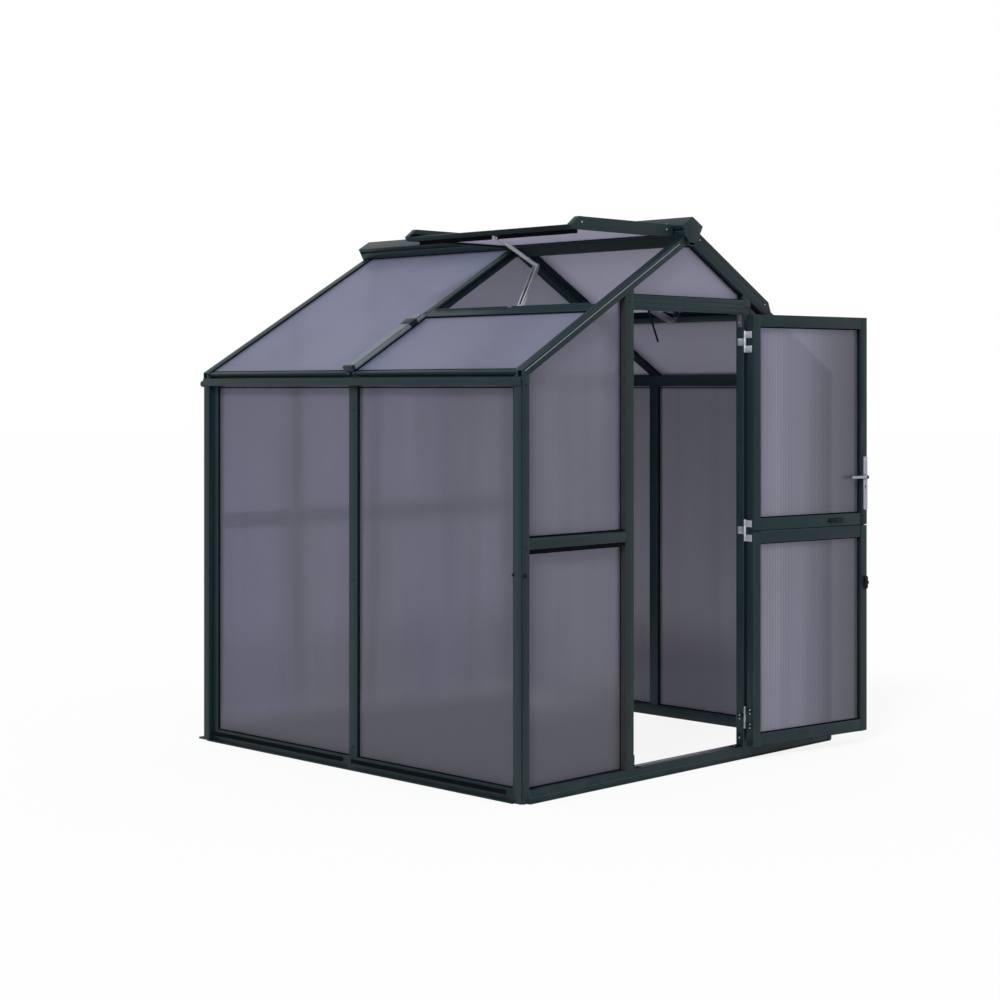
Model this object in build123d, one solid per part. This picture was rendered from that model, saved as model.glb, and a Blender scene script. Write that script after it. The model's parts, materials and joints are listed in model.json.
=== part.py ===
"""Small greenhouse: bar frame, twin-wall sheets, two-part door, two ridge-hinged roof vents.

The model is in millimetres with +Z up. The origin is on the ground under the outer face of the
front gable, at the middle of the door sill. +Y runs from the front gable to the rear gable and
+X to the side that carries the door hinges. The door stands open, the vent on the -X slope is
open and the vent on the +X slope is closed.
"""
import os
from math import atan2, cos, degrees, hypot, radians, sin, sqrt, tan

from build123d import *

# House
WIDTH = 1960.0              # over the outer faces of the corner posts
LENGTH = 1960.0             # front gable face to rear gable face
PITCH = 30.0                # roof slope, degrees
EAVE_Z = 1616.0             # top of the rafters at the outer corner face
WALL_INSET = 24.0           # side walls stand this far inside the corner posts

# Bars
BAR = 40.0                  # face and depth of the gable bars
SIDE_DEPTH = 36.0           # depth of the side wall bars
RAFTER_DEPTH = 36.0         # depth of the rafters, square to the slope
METAL = 2.5                 # wall of the hollow bars
BASE_HEIGHT = 48.0          # base rails and door sill
FLANGE = 15.0               # base flange on the ground outside a gable face
SIDE_FLANGE = 35.0          # base flange on the ground outside a side wall
FLANGE_THICK = 3.0
FLANGE_OVERHANG = 12.0      # gable flanges reach this far over the corner posts
CORNER_LEG = 32.0           # corner post leg that carries the side wall
CORNER_SLOT = 5.0           # width of the slot in the corner post's outer edge
CORNER_SLOT_DEPTH = 12.0
MULLION = 48.0              # face of the side wall mullions
MULLION_PROUD = 4.0         # mullions stand proud of the side wall face
MID_RAIL_Z = 930.0          # underside of the gable mid rails
MID_RAIL = 57.0             # height of the gable mid rails
MID_RAIL_LIP = 15.0         # set-back strip along the bottom of a mid rail
MID_RAIL_LIP_DEPTH = 12.0
MID_RAIL_BEVEL = 6.0
REAR_POST_X = 490.0         # side posts of the rear gable
TOUCH = 0.3                 # clearance between pieces that almost touch

# Sheets
SHEET = 10.0                # thickness
SHEET_GAP = 0.3             # each side of a sheet in its groove
SEAT = 8.0                  # reach of a sheet into a groove
SEAT_GAP = 1.0              # free depth behind the sheet
GABLE_SHEET_AT = 27.0       # gable face to sheet
SIDE_SHEET_AT = 10.0        # side wall face to sheet
ROOF_SHEET_AT = 8.0         # rafter top to sheet
DOOR_SHEET_AT = 15.0        # door face to sheet
VENT_SHEET_AT = 9.0         # rafter top to the sheet of a closed vent

# Eaves
BEAM_WIDTH = 40.0           # eave beam, across the house
BEAM_DROP = 58.0            # underside of the eave beams below the rafter tops at the corner face
GUTTER_HEIGHT = 32.0        # outer wall of the gutter
GUTTER_REACH = 29.0         # gutter stands out this far from the side wall face
GUTTER_WALL = 2.0
GUTTER_END = 3.0            # gutter front stops short of the house length by this much
SPOUT_R = 9.0               # outlet tube through the rear corner post
SPOUT_COLLAR_R = 14.0
SPOUT_COLLAR = 24.0
SPOUT_BORE_R = 7.0
TRIM_LENGTH = 15.0          # edge profile on the lower edge of the roof sheets
TRIM_WALL = 3.0
RAFTER_OVERHANG = 20.0      # middle rafters past the side wall face

# Ridge
RIDGE_TOP = 62.0            # ridge crest above the crest of the rafter tops
RIDGE_WING = 75.0           # slope length of each ridge wing
RIDGE_WEB = 40.0            # thickness of the ridge web between the rafters
RIDGE_WEB_DROP = 56.0       # underside of the ridge web below the crest of the rafter tops
RIDGE_WALL = 3.0
RIDGE_OVERHANG = 10.0       # ridge past each gable face
CAP_THICK = 3.0
CAP_DROP = 12.0             # end caps stop this far above the underside of the web

# Vents, along the slope (u from the crest, n square to the slope above the rafter tops)
HINGE_BACK = 8.0            # hinge axis behind the face of the ridge wing
HINGE_N = 31.0
BEAD_R = 5.0                # hinge bead on the vent
BEAD_PLAY = 0.06            # radial play of the bead in its socket
NECK = 4.0                  # thickness of the strip that carries the bead
NECK_GAP = 1.0              # play of the neck in the socket's mouth
VENT_OPEN = 30.0            # opening of a vent, degrees
VENT_FRONT = 33.0           # front face of a vent's side rail
VENT_REAR_INSET = 1.0       # vent stops this far before the middle of the middle rafter
VENT_TOP_U = 60.0           # upper end of the vent frame
VENT_TOP_RAIL = 30.0
VENT_SIDE = 25.0            # width of the vent's side rails
VENT_HEIGHT = 50.0
VENT_SEAT = 0.5             # gap under the closed vent
VENT_NOSE = 44.0            # sloped end of the side rails
VENT_NOSE_N = 16.0
VENT_HEEL = 12.0            # nose tip to the lower end of the underside
VENT_FREE_RAIL = 40.0
SILL_U = 612.0              # upper edge of the vent sill
SILL = 53.0
SILL_WEB = 12.0             # upright of the sill inside the roof
SILL_LIP = 6.0              # upstand inside the closed vent
SILL_LIP_THICK = 4.0
SILL_LIP_END = 6.0          # lip to the vent's side rails and to the opener's holder

# Vent opener, in the middle of the vent
OPENER_BACK = 21.5          # opener pivots up-slope of the sill
VENT_PIVOT_N = -6.0
SILL_PIVOT_N = -50.0
ELBOW_BACK = 231.0          # elbow up-slope of the pivots when closed
ELBOW_N = -94.0
ARM_THICK = 4.0             # the two plates of a lower arm
ARM_ROOT_R = 11.0
ARM_TIP_R = 8.0
ARM_SIDES = 8               # sides of the arms' faceted ends
ARM_GAP = 14.0              # between the plates of a lower arm
UPPER_ARM_THICK = 6.0
OPENER_PIN_R = 4.0
PIN_PLAY = 0.05             # radial play of a running pin
SIDE_PLAY = 0.3             # side play of a running link
ARM_BRIDGE = 45.0           # bridge between the plates, from the root pivot
BRIDGE_R = 5.0
BRACKET_THICK = 3.0

# Door opening
DOORWAY = 700.0             # between the door posts
DOOR_POST = 48.0
LINTEL_Z = 1858.0
LINTEL = 58.0
LINTEL_FLUTE = 3.0

# Door leaves, sizes of the closed door
DOOR_OPEN = 172.0           # opening of the door as it stands, degrees
LEAF_DEPTH = 40.0
LEAF_GAP = 7.0              # leaf edge to door post
LEAF_FLOOR_GAP = 8.0        # leaf above the sill
LEAF_TOP_GAP = 3.0          # leaf below the lintel
SPLIT_Z = 953.0             # middle of the gap between the two leaves
SPLIT_GAP = 4.0
STILE = 40.0
LEAF_RAIL = 50.0

# Door hinges
HINGE_PIN_X = 8.0           # hinge axis inside the door post's face
HINGE_PIN_Y = 13.0          # hinge axis in front of the gable face
HINGE_PIN_R = 3.0
KNUCKLE_R = 5.5
HINGE_HEIGHT = 88.0
KNUCKLE_MID = 31.0          # middle knuckle, on the door post
KNUCKLE_GAP = 0.4
PLATE = 2.5
PLATE_DEPTH = 30.0
PIN_HEAD_R = 4.5            # corners of the six-sided pin heads
PIN_HEAD = 3.0
HINGE_INSET = 114.0         # outer hinges from the ends of the door

# Door furniture
LOCK_FROM_EDGE = 15.0       # lock plates from the leaf's free edge
LOCK_Z = 1134.5             # middle of the lock plates
LOCK_PLATE = 231.0
LOCK_PLATE_WIDTH = 25.0
LOCK_PLATE_THICK = 6.0
LOCK_PLATE_CORNER = 4.0     # cut corners of the lock plates
LEVER_RISE = 26.5           # lever above the middle of the lock plates
LEVER_NECK = 34.0
LEVER_NECK_R = 8.0
LEVER_LENGTH = 88.0
LEVER_R = 6.5
LEVER_CHAMFER = 3.0
SPINDLE = 8.0               # side of the square spindle
KEYHOLE_DROP = 40.0         # keyhole below the lever
KEYHOLE_R = 4.0
BOLT_RISE = 26.0            # latch bolt above the lever
BOLT_WIDTH = 12.0
BOLT_HEIGHT = 16.0
BOLT_REACH = 12.0           # latch bolt out of the leaf's edge
BOLT_LENGTH = 26.0
BOLT_TRAVEL = 10.0
STRIKE_THICK = 1.5
STRIKE_WIDTH = 24.0
STRIKE_HEIGHT = 60.0
COUPLER_FROM_EDGE = 196.0   # turn button that joins the leaves
COUPLER_LENGTH = 84.0
COUPLER_WIDTH = 18.0
COUPLER_THICK = 8.0
COUPLER_CORNER = 5.0
COUPLER_PIVOT_R = 7.0
COUPLER_PIVOT = 2.0
COUPLER_RISE = 26.0         # turn button above the gap between the leaves
TURN_LATCH_Z = 702.0
TURN_LATCH_FROM_EDGE = 12.0
TURN_LATCH_LENGTH = 56.0
TURN_LATCH_WIDTH = 18.0
TURN_LATCH_CORNER = 5.0
TURN_LATCH_KNOB_R = 10.0
TURN_LATCH_KNOB = 4.0
TURN_LATCH_THICK = 10.0
ANGLE_LEG = 55.0            # legs of the angles in the doorway's corners
ANGLE_WIDTH = 26.0
ANGLE_THICK = 1.5
ANGLE_FRONT = 9.0           # gable face to the angles

# Anchors
ANCHOR_R = 4.5              # anchor holes in the gable flanges
ANCHOR_X = 800.0
ANCHOR_OUT = 9.0            # anchor holes in front of the gable face

# Values that follow
COS = cos(radians(PITCH))
SIN = sin(radians(PITCH))
TAN = tan(radians(PITCH))
HALF = WIDTH / 2
CREST_Z = EAVE_Z + HALF * TAN
RIDGE_WEB_Z = CREST_Z - RIDGE_WEB_DROP
BEAM_Z = EAVE_Z - BEAM_DROP
LEVER_Z = LOCK_Z + LEVER_RISE
WALL_X = HALF - WALL_INSET
MIDDLE_Y = LENGTH / 2
GROOVE = SEAT + SEAT_GAP
GROOVE_WIDTH = SHEET + 2 * SHEET_GAP
WEB_X = RIDGE_WEB / 2
LEG_Y = BAR + CORNER_LEG
BAR_X = HALF - BAR
POST_X = DOORWAY / 2
LEAF_X = POST_X - LEAF_GAP
PIN_X = POST_X - HINGE_PIN_X
PIN_Y = -HINGE_PIN_Y
LEAF_BOTTOM = BASE_HEIGHT + LEAF_FLOOR_GAP
LEAF_TOP = LINTEL_Z - LEAF_TOP_GAP
TRIM_DEPTH = ROOF_SHEET_AT + SHEET + SHEET_GAP + TRIM_WALL
SHEET_END_U = (WALL_X + 2 * TOUCH + TRIM_DEPTH * SIN) / COS + TRIM_LENGTH - TRIM_WALL
WING_N = RIDGE_TOP * COS
WING_U = RIDGE_WING - RIDGE_TOP * SIN
HINGE_U = WING_U - HINGE_BACK
VENT_REAR = MIDDLE_Y - VENT_REAR_INSET
VENT_NOSE_U = SILL_U + SILL + TOUCH
VENT_END_U = VENT_NOSE_U - VENT_NOSE
OPENER_Y = (VENT_FRONT + VENT_REAR) / 2
OPENER_U = SILL_U - OPENER_BACK
HOLDER_HALF = UPPER_ARM_THICK / 2 + SIDE_PLAY + BRACKET_THICK
SPINDLE_WAY = SPINDLE * sqrt(2) + 2 * TOUCH

FRONT_TO_REAR = Plane((0, MIDDLE_Y, 0), x_dir=(1, 0, 0), z_dir=(0, 1, 0))
nodes = {}


def add(name, *solids):
    """Keep the solids of one node."""
    nodes[name] = list(solids)


def to_left(shape):
    """The same piece on the -X side."""
    return mirror(shape, about=Plane.YZ)


def to_rear(shape):
    """The same piece on the rear gable."""
    return mirror(shape, about=FRONT_TO_REAR)


def block(x_range, y_range, z_range):
    """A box between pairs of limits."""
    size = [high - low for low, high in (x_range, y_range, z_range)]
    middle = [(high + low) / 2 for low, high in (x_range, y_range, z_range)]
    return Pos(*middle) * Box(*size)


def area(a_range, b_range):
    """A rectangle between pairs of limits."""
    size = [high - low for low, high in (a_range, b_range)]
    middle = [(high + low) / 2 for low, high in (a_range, b_range)]
    return Pos(*middle) * Rectangle(*size)


def shape(*points):
    """A closed outline through the points."""
    return Polygon(*points, align=None)


def up(outline, z_low, z_high):
    """Extrude an XY outline upwards."""
    return extrude(Pos(0, 0, z_low) * outline, z_high - z_low, dir=(0, 0, 1))


def along_y(outline, y_low, y_high):
    """Extrude an XZ outline along the house."""
    plane = Plane((0, y_high, 0), x_dir=(1, 0, 0), z_dir=(0, -1, 0))
    return extrude(plane * outline, y_high - y_low, dir=(0, -1, 0))


def along_x(outline, x_low, x_high):
    """Extrude a YZ outline across the house."""
    plane = Plane((x_low, 0, 0), x_dir=(0, 1, 0), z_dir=(1, 0, 0))
    return extrude(plane * outline, x_high - x_low, dir=(1, 0, 0))


def on_slope(outline, y_low, y_high):
    """Extrude an outline in slope coordinates (u, n) of the +X slope along the house."""
    plane = Plane((0, y_high, CREST_Z), x_dir=(COS, 0, -SIN), z_dir=(0, -1, 0))
    return extrude(plane * outline, y_high - y_low, dir=(0, -1, 0))


def down_slope(outline, u_low, u_high):
    """Extrude an outline in (y, n) down the +X slope."""
    plane = Plane((u_low * COS, 0, CREST_Z - u_low * SIN), x_dir=(0, 1, 0), z_dir=(COS, 0, -SIN))
    return extrude(plane * outline, u_high - u_low, dir=(COS, 0, -SIN))


def roof_z(x, n=0.0):
    """Height of the plane that lies n above the rafter tops."""
    return CREST_Z + n / COS - abs(x) * TAN


def above_roof(n):
    """Everything above the plane n, for cutting posts to the slope."""
    far = 2 * HALF
    high = CREST_Z + HALF
    low = roof_z(far, n)
    outline = shape((-far, low), (0, roof_z(0, n)), (far, low), (far, high), (-far, high))
    return along_y(outline, -HALF, LENGTH + HALF)


def bar_outline(width, depth, sheet_at, left=True, right=True):
    """Section of a hollow glazing bar: a across the bar, b from its outer face inwards."""
    groove = (sheet_at - SHEET_GAP, sheet_at - SHEET_GAP + GROOVE_WIDTH)
    outline = area((-width / 2, width / 2), (0, depth))
    if left:
        outline -= area((-width / 2, -width / 2 + GROOVE), groove)
    if right:
        outline -= area((width / 2 - GROOVE, width / 2), groove)
    for low, high in ((0, groove[0]), (groove[1], depth)):
        if high - low > 4 * METAL:
            outline -= area((METAL - width / 2, width / 2 - METAL), (low + METAL, high - METAL))
    return outline


def upper_x(x_low, x_high, z_low):
    """Outline of a gable sheet whose top edge follows a slope on the +X side."""
    n = SEAT - RAFTER_DEPTH
    z_flat = RIDGE_WEB_Z - TOUCH
    x_flat = max(x_low, (roof_z(0, n) - z_flat) / TAN)
    points = [(x_low, z_low), (x_high, z_low), (x_high, roof_z(x_high, n)), (x_flat, roof_z(x_flat, n))]
    if x_flat > x_low:
        points.append((x_low, z_flat))
    return shape(*points)


def corner_post():
    """The two bars of the front corner post on the +X side; the gable bar has a slotted outer edge."""
    gable_sheet = (GABLE_SHEET_AT - SHEET_GAP, GABLE_SHEET_AT - SHEET_GAP + GROOVE_WIDTH)
    side_sheet = (WALL_X - SIDE_SHEET_AT + SHEET_GAP - GROOVE_WIDTH, WALL_X - SIDE_SHEET_AT + SHEET_GAP)
    gable_leg = area((BAR_X, HALF), (0, BAR))
    gable_leg -= area((BAR_X, BAR_X + GROOVE), gable_sheet)
    gable_leg -= Pos(HALF, 0) * Rot(0, 0, 45) * Rectangle(CORNER_SLOT, 2 * CORNER_SLOT_DEPTH)
    slot_reach = CORNER_SLOT_DEPTH * cos(radians(45)) + CORNER_SLOT
    gable_leg -= area((BAR_X + GROOVE + METAL, HALF - slot_reach), (slot_reach, BAR - METAL))
    side_leg = area((WALL_X - SIDE_DEPTH, WALL_X), (BAR, LEG_Y))
    side_leg -= area(side_sheet, (LEG_Y - GROOVE, LEG_Y))
    side_leg -= area((WALL_X - SIDE_DEPTH + METAL, WALL_X - METAL), (BAR + METAL, LEG_Y - GROOVE - METAL))
    return up(gable_leg, 0, EAVE_Z) - above_roof(-RAFTER_DEPTH), up(side_leg, 0, BEAM_Z)


def base_rails():
    """Four base rails with their ground flanges and anchor holes."""
    groove = (GABLE_SHEET_AT - SHEET_GAP, GABLE_SHEET_AT - SHEET_GAP + GROOVE_WIDTH)
    hollow = area((METAL, groove[0] - METAL), (METAL, BASE_HEIGHT - METAL))
    rail = along_x(area((0, BAR), (0, BASE_HEIGHT)) - hollow, -BAR_X, BAR_X)
    flange_x = BAR_X + FLANGE_OVERHANG
    rail += block((-flange_x, flange_x), (-FLANGE, 0), (0, FLANGE_THICK))
    for x in (-ANCHOR_X, ANCHOR_X):
        rail -= Pos(x, -ANCHOR_OUT, 0) * Cylinder(ANCHOR_R, 4 * FLANGE_THICK)
    top_groove = (BASE_HEIGHT - GROOVE, BASE_HEIGHT)
    front = rail
    groove_end = POST_X + DOOR_POST - GROOVE
    for x_range in ((-BAR_X, -groove_end), (groove_end, BAR_X)):
        front -= block(x_range, groove, top_groove)
    add("base_rail_front", front)
    add("base_rail_rear", to_rear(rail - block((-BAR_X, BAR_X), groove, top_groove)))
    x_sheet = WALL_X - SIDE_SHEET_AT + SHEET_GAP
    section = area((WALL_X - BEAM_WIDTH, WALL_X), (0, BASE_HEIGHT))
    section -= area((x_sheet - GROOVE_WIDTH, x_sheet), top_groove)
    section -= area((WALL_X - BEAM_WIDTH + METAL, WALL_X - METAL), (METAL, BASE_HEIGHT - GROOVE - METAL))
    side = along_y(section, LEG_Y, LENGTH - LEG_Y)
    y_flange = (BAR + TOUCH, LENGTH - BAR - TOUCH)
    side += block((WALL_X, WALL_X + SIDE_FLANGE), y_flange, (0, FLANGE_THICK))
    add("base_rail_right", side)
    add("base_rail_left", to_left(side))


def corner_posts():
    """Four corner posts; the rear ones let the gutter outlets through."""
    gable_bar, side_bar = corner_post()
    outlet = Plane((spout_x(), LENGTH, spout_z()), x_dir=(1, 0, 0), z_dir=(0, 1, 0))
    rear_bar = to_rear(gable_bar) - outlet * Cylinder(SPOUT_R + TOUCH, 4 * BAR)
    for name, bars in (("front", (gable_bar, side_bar)), ("rear", (rear_bar, to_rear(side_bar)))):
        add(f"corner_post_{name}_right", *bars)
        add(f"corner_post_{name}_left", *[to_left(bar) for bar in bars])


def spout_x():
    """Middle of the gutter outlet, as near the outer wall as the corner post allows."""
    return WALL_X + SPOUT_R + TOUCH


def spout_z():
    """Height of the gutter outlet: its bore lies on the gutter's floor."""
    return BEAM_Z + GUTTER_WALL + SPOUT_BORE_R


def beam_top():
    """Flat top of the eave beams, close under the roof sheets at the side wall's face."""
    return roof_z(WALL_X, -ROOF_SHEET_AT - SHEET - TOUCH)


def eave_gutter():
    """Eave beam, gutter floor, fascia strip, front stop end and rear stop end with its outlet."""
    inner = WALL_X - BEAM_WIDTH
    beam = area((inner, WALL_X), (BEAM_Z, beam_top()))
    x_sheet = WALL_X - SIDE_SHEET_AT + SHEET_GAP
    beam -= area((x_sheet - GROOVE_WIDTH, x_sheet), (BEAM_Z, BEAM_Z + GROOVE))
    beam -= area((inner + METAL, WALL_X - METAL), (BEAM_Z + GROOVE + METAL, beam_top() - METAL))
    outer = WALL_X + GUTTER_REACH - GUTTER_WALL
    floor_z = BEAM_Z + GUTTER_WALL
    y_bay = (BAR + TOUCH, LENGTH - BAR - TOUCH)
    floor = block((WALL_X, outer), y_bay, (BEAM_Z, floor_z))
    lip_z = (BEAM_Z, BEAM_Z + GUTTER_HEIGHT)
    fascia = block((outer, outer + GUTTER_WALL), (GUTTER_END, LENGTH - GUTTER_END), lip_z)
    ends = [block((WALL_X, outer), (y, y + GUTTER_WALL), (floor_z, lip_z[1]))
            for y in (y_bay[0], y_bay[1] - GUTTER_WALL)]
    axis = Plane((spout_x(), y_bay[1] - GUTTER_WALL, spout_z()), x_dir=(1, 0, 0), z_dir=(0, 1, 0))
    length = LENGTH + TOUCH - axis.origin.Y
    outlet = extrude(axis.offset(GUTTER_WALL) * Circle(SPOUT_R), length - GUTTER_WALL)
    outlet += extrude(axis.offset(length) * Circle(SPOUT_COLLAR_R), SPOUT_COLLAR)
    rear_end = ends[1] + outlet - extrude(axis * Circle(SPOUT_BORE_R), length + SPOUT_COLLAR)
    return along_y(beam, *y_bay), floor, fascia, ends[0], rear_end


def side_walls():
    """Mullions, eave beams with gutters and the sheets of both side walls."""
    section = bar_outline(MULLION, SIDE_DEPTH + MULLION_PROUD, SIDE_SHEET_AT + MULLION_PROUD)
    plane = Plane((WALL_X + MULLION_PROUD, MIDDLE_Y, BASE_HEIGHT), x_dir=(0, 1, 0), z_dir=(0, 0, 1))
    mullion = extrude(plane * section, BEAM_Z - BASE_HEIGHT)
    x_sheet = WALL_X - SIDE_SHEET_AT
    z_sheet = (BASE_HEIGHT - SEAT, BEAM_Z + SEAT)
    bays = ((LEG_Y, MIDDLE_Y - MULLION / 2), (MIDDLE_Y + MULLION / 2, LENGTH - LEG_Y))
    sheets = [block((x_sheet - SHEET, x_sheet), (y0 - SEAT, y1 + SEAT), z_sheet) for y0, y1 in bays]
    gutter = eave_gutter()
    add("side_mullion_right", mullion)
    add("side_mullion_left", to_left(mullion))
    add("eave_gutter_right", *gutter)
    add("eave_gutter_left", *[to_left(piece) for piece in gutter])
    add("wall_sheets_right", *sheets)
    add("wall_sheets_left", *[to_left(sheet) for sheet in sheets])


def ridge():
    """Ridge beam with a hinge socket in each wing, and its two end caps."""
    wing = (WING_U, WING_N)
    slope = shape((-RIDGE_TOP * SIN, WING_N), wing, (WING_U, TOUCH), (-TOUCH * TAN, TOUCH))
    socket = Pos(HINGE_U, HINGE_N) * Circle(BEAD_R + BEAD_PLAY)
    reach = 2 * HINGE_BACK
    low = HINGE_N - NECK / 2 - NECK_GAP
    rise = tan(radians(VENT_OPEN)) * reach + (NECK / 2 + NECK_GAP) / cos(radians(VENT_OPEN))
    mouth = shape((HINGE_U, low), (HINGE_U + reach, low), (HINGE_U + reach, HINGE_N + rise),
                  (HINGE_U, HINGE_N + NECK / 2 + NECK_GAP))
    y_range = (-RIDGE_OVERHANG, LENGTH + RIDGE_OVERHANG)
    half = on_slope(slope - socket - mouth, *y_range)
    web_top = CREST_Z + RIDGE_TOP - WEB_X * TAN
    web = along_y(area((-WEB_X, WEB_X), (RIDGE_WEB_Z, web_top)), *y_range)
    hollow_x = WEB_X - RIDGE_WALL
    hollow = along_y(area((-hollow_x, hollow_x), (RIDGE_WEB_Z + RIDGE_WALL, web_top - RIDGE_WALL)), *y_range)
    add("ridge_beam", half + to_left(half) + web - hollow)
    tip_x = WING_U * COS + WING_N * SIN
    tip_z = CREST_Z - WING_U * SIN + WING_N * COS
    foot_x = WING_U * COS + TOUCH * SIN
    foot_z = CREST_Z - WING_U * SIN + TOUCH * COS
    low_z = RIDGE_WEB_Z + CAP_DROP
    outline = shape((0, CREST_Z + RIDGE_TOP), (tip_x, tip_z), (foot_x, foot_z), (WEB_X, low_z),
                    (-WEB_X, low_z), (-foot_x, foot_z), (-tip_x, tip_z))
    cap = along_y(outline, -RIDGE_OVERHANG - CAP_THICK, -RIDGE_OVERHANG)
    add("ridge_end_caps", cap, to_rear(cap))


def rafter_trim(rafter, x_high):
    """Cut a rafter upright at the ridge web and at its lower end."""
    return rafter & block((WEB_X, x_high), (-HALF, LENGTH + HALF), (0, 2 * CREST_Z))


def rafters():
    """Gable rafters, and middle rafters that are notched onto the eave beams."""
    length = 2 * HALF
    sheet_n = (-ROOF_SHEET_AT + SHEET_GAP - GROOVE_WIDTH, -ROOF_SHEET_AT + SHEET_GAP)
    gable_y = (GABLE_SHEET_AT - SHEET_GAP, GABLE_SHEET_AT - SHEET_GAP + GROOVE_WIDTH)
    section = area((0, BAR), (-RAFTER_DEPTH, 0))
    section -= area((BAR - GROOVE, BAR), sheet_n)
    section -= area(gable_y, (-RAFTER_DEPTH, -RAFTER_DEPTH + GROOVE))
    section -= area((METAL, gable_y[0] - METAL), (METAL - RAFTER_DEPTH, -METAL))
    gable = rafter_trim(down_slope(section, 0, length), HALF)
    add("gable_rafter_front_right", gable)
    add("gable_rafter_front_left", to_left(gable))
    add("gable_rafter_rear_right", to_rear(gable))
    add("gable_rafter_rear_left", to_left(to_rear(gable)))
    half_bar = BAR / 2
    core = half_bar - GROOVE - METAL
    section = area((-half_bar, half_bar), (-RAFTER_DEPTH, 0))
    section -= area((-half_bar, GROOVE - half_bar), sheet_n)
    section -= area((half_bar - GROOVE, half_bar), sheet_n)
    section -= area((-core, core), (METAL - RAFTER_DEPTH, -METAL))
    middle = rafter_trim(Pos(0, MIDDLE_Y, 0) * down_slope(section, 0, length), WALL_X + RAFTER_OVERHANG)
    middle -= block((WALL_X - BEAM_WIDTH - TOUCH, HALF), (0, LENGTH), (0, beam_top()))
    add("middle_rafter_right", middle)
    add("middle_rafter_left", to_left(middle))


def roof():
    """Vent sills, roof sheets and the edge profiles along the eaves."""
    half_bar = BAR / 2
    front_bay = (BAR, MIDDLE_Y - half_bar)
    rear_bay = (MIDDLE_Y + half_bar, LENGTH - BAR)
    sheet_n = (-ROOF_SHEET_AT - SHEET, -ROOF_SHEET_AT)
    groove_n = (sheet_n[0] - SHEET_GAP, sheet_n[1] + SHEET_GAP)
    section = area((SILL_U, SILL_U + SILL), (-RAFTER_DEPTH, 0))
    web_u = SILL_U + SILL_WEB
    section -= area((web_u, SILL_U + SILL), (-RAFTER_DEPTH, groove_n[1]))
    section += area((web_u, web_u + GROOVE), (groove_n[0] - METAL, groove_n[0]))
    section -= area((SILL_U + METAL, web_u - METAL), (METAL - RAFTER_DEPTH, -METAL))
    sill = on_slope(section, *front_bay)
    lip = area((SILL_U, SILL_U + SILL_LIP_THICK), (0, SILL_LIP))
    sill += on_slope(lip, VENT_FRONT + VENT_SIDE + SILL_LIP_END, OPENER_Y - HOLDER_HALF - SILL_LIP_END)
    sill += on_slope(lip, OPENER_Y + HOLDER_HALF + SILL_LIP_END, VENT_REAR - VENT_SIDE - SILL_LIP_END)
    add("vent_sill_right", sill)
    add("vent_sill_left", to_left(sill))
    ridge_u = (WEB_X + TOUCH + ROOF_SHEET_AT * SIN + SHEET * SIN) / COS
    bays = ((front_bay, web_u + SEAT_GAP), (rear_bay, ridge_u))
    sheets = [on_slope(area((u, SHEET_END_U), sheet_n), y0 - SEAT, y1 + SEAT) for (y0, y1), u in bays]
    add("roof_sheets_right", *sheets)
    add("roof_sheets_left", *[to_left(sheet) for sheet in sheets])
    end = SHEET_END_U + TOUCH
    outline = area((end + TRIM_WALL - TRIM_LENGTH, end + TRIM_WALL),
                   (groove_n[0] - TRIM_WALL, groove_n[1] + TRIM_WALL))
    outline -= area((end - TRIM_LENGTH, end), groove_n)
    trims = [on_slope(outline, y0 + TOUCH, y1 - TOUCH) for y0, y1 in (front_bay, rear_bay)]
    add("roof_edge_trims", *trims, *[to_left(trim) for trim in trims])


def mid_rail_outline():
    """Section of a gable mid rail in (y, z): bevelled on top, set back along the bottom."""
    top = MID_RAIL_Z + MID_RAIL
    step = MID_RAIL_Z + MID_RAIL_LIP
    groove = (GABLE_SHEET_AT - SHEET_GAP, GABLE_SHEET_AT - SHEET_GAP + GROOVE_WIDTH)
    outline = shape((0, step), (MID_RAIL_LIP_DEPTH, step), (MID_RAIL_LIP_DEPTH, MID_RAIL_Z),
                    (BAR, MID_RAIL_Z), (BAR, top), (MID_RAIL_BEVEL, top), (0, top - MID_RAIL_BEVEL))
    outline -= area(groove, (top - GROOVE, top))
    outline -= area(groove, (MID_RAIL_Z, MID_RAIL_Z + GROOVE))
    return outline - area((METAL, groove[0] - METAL), (step + METAL, top - MID_RAIL_BEVEL - METAL))


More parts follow.
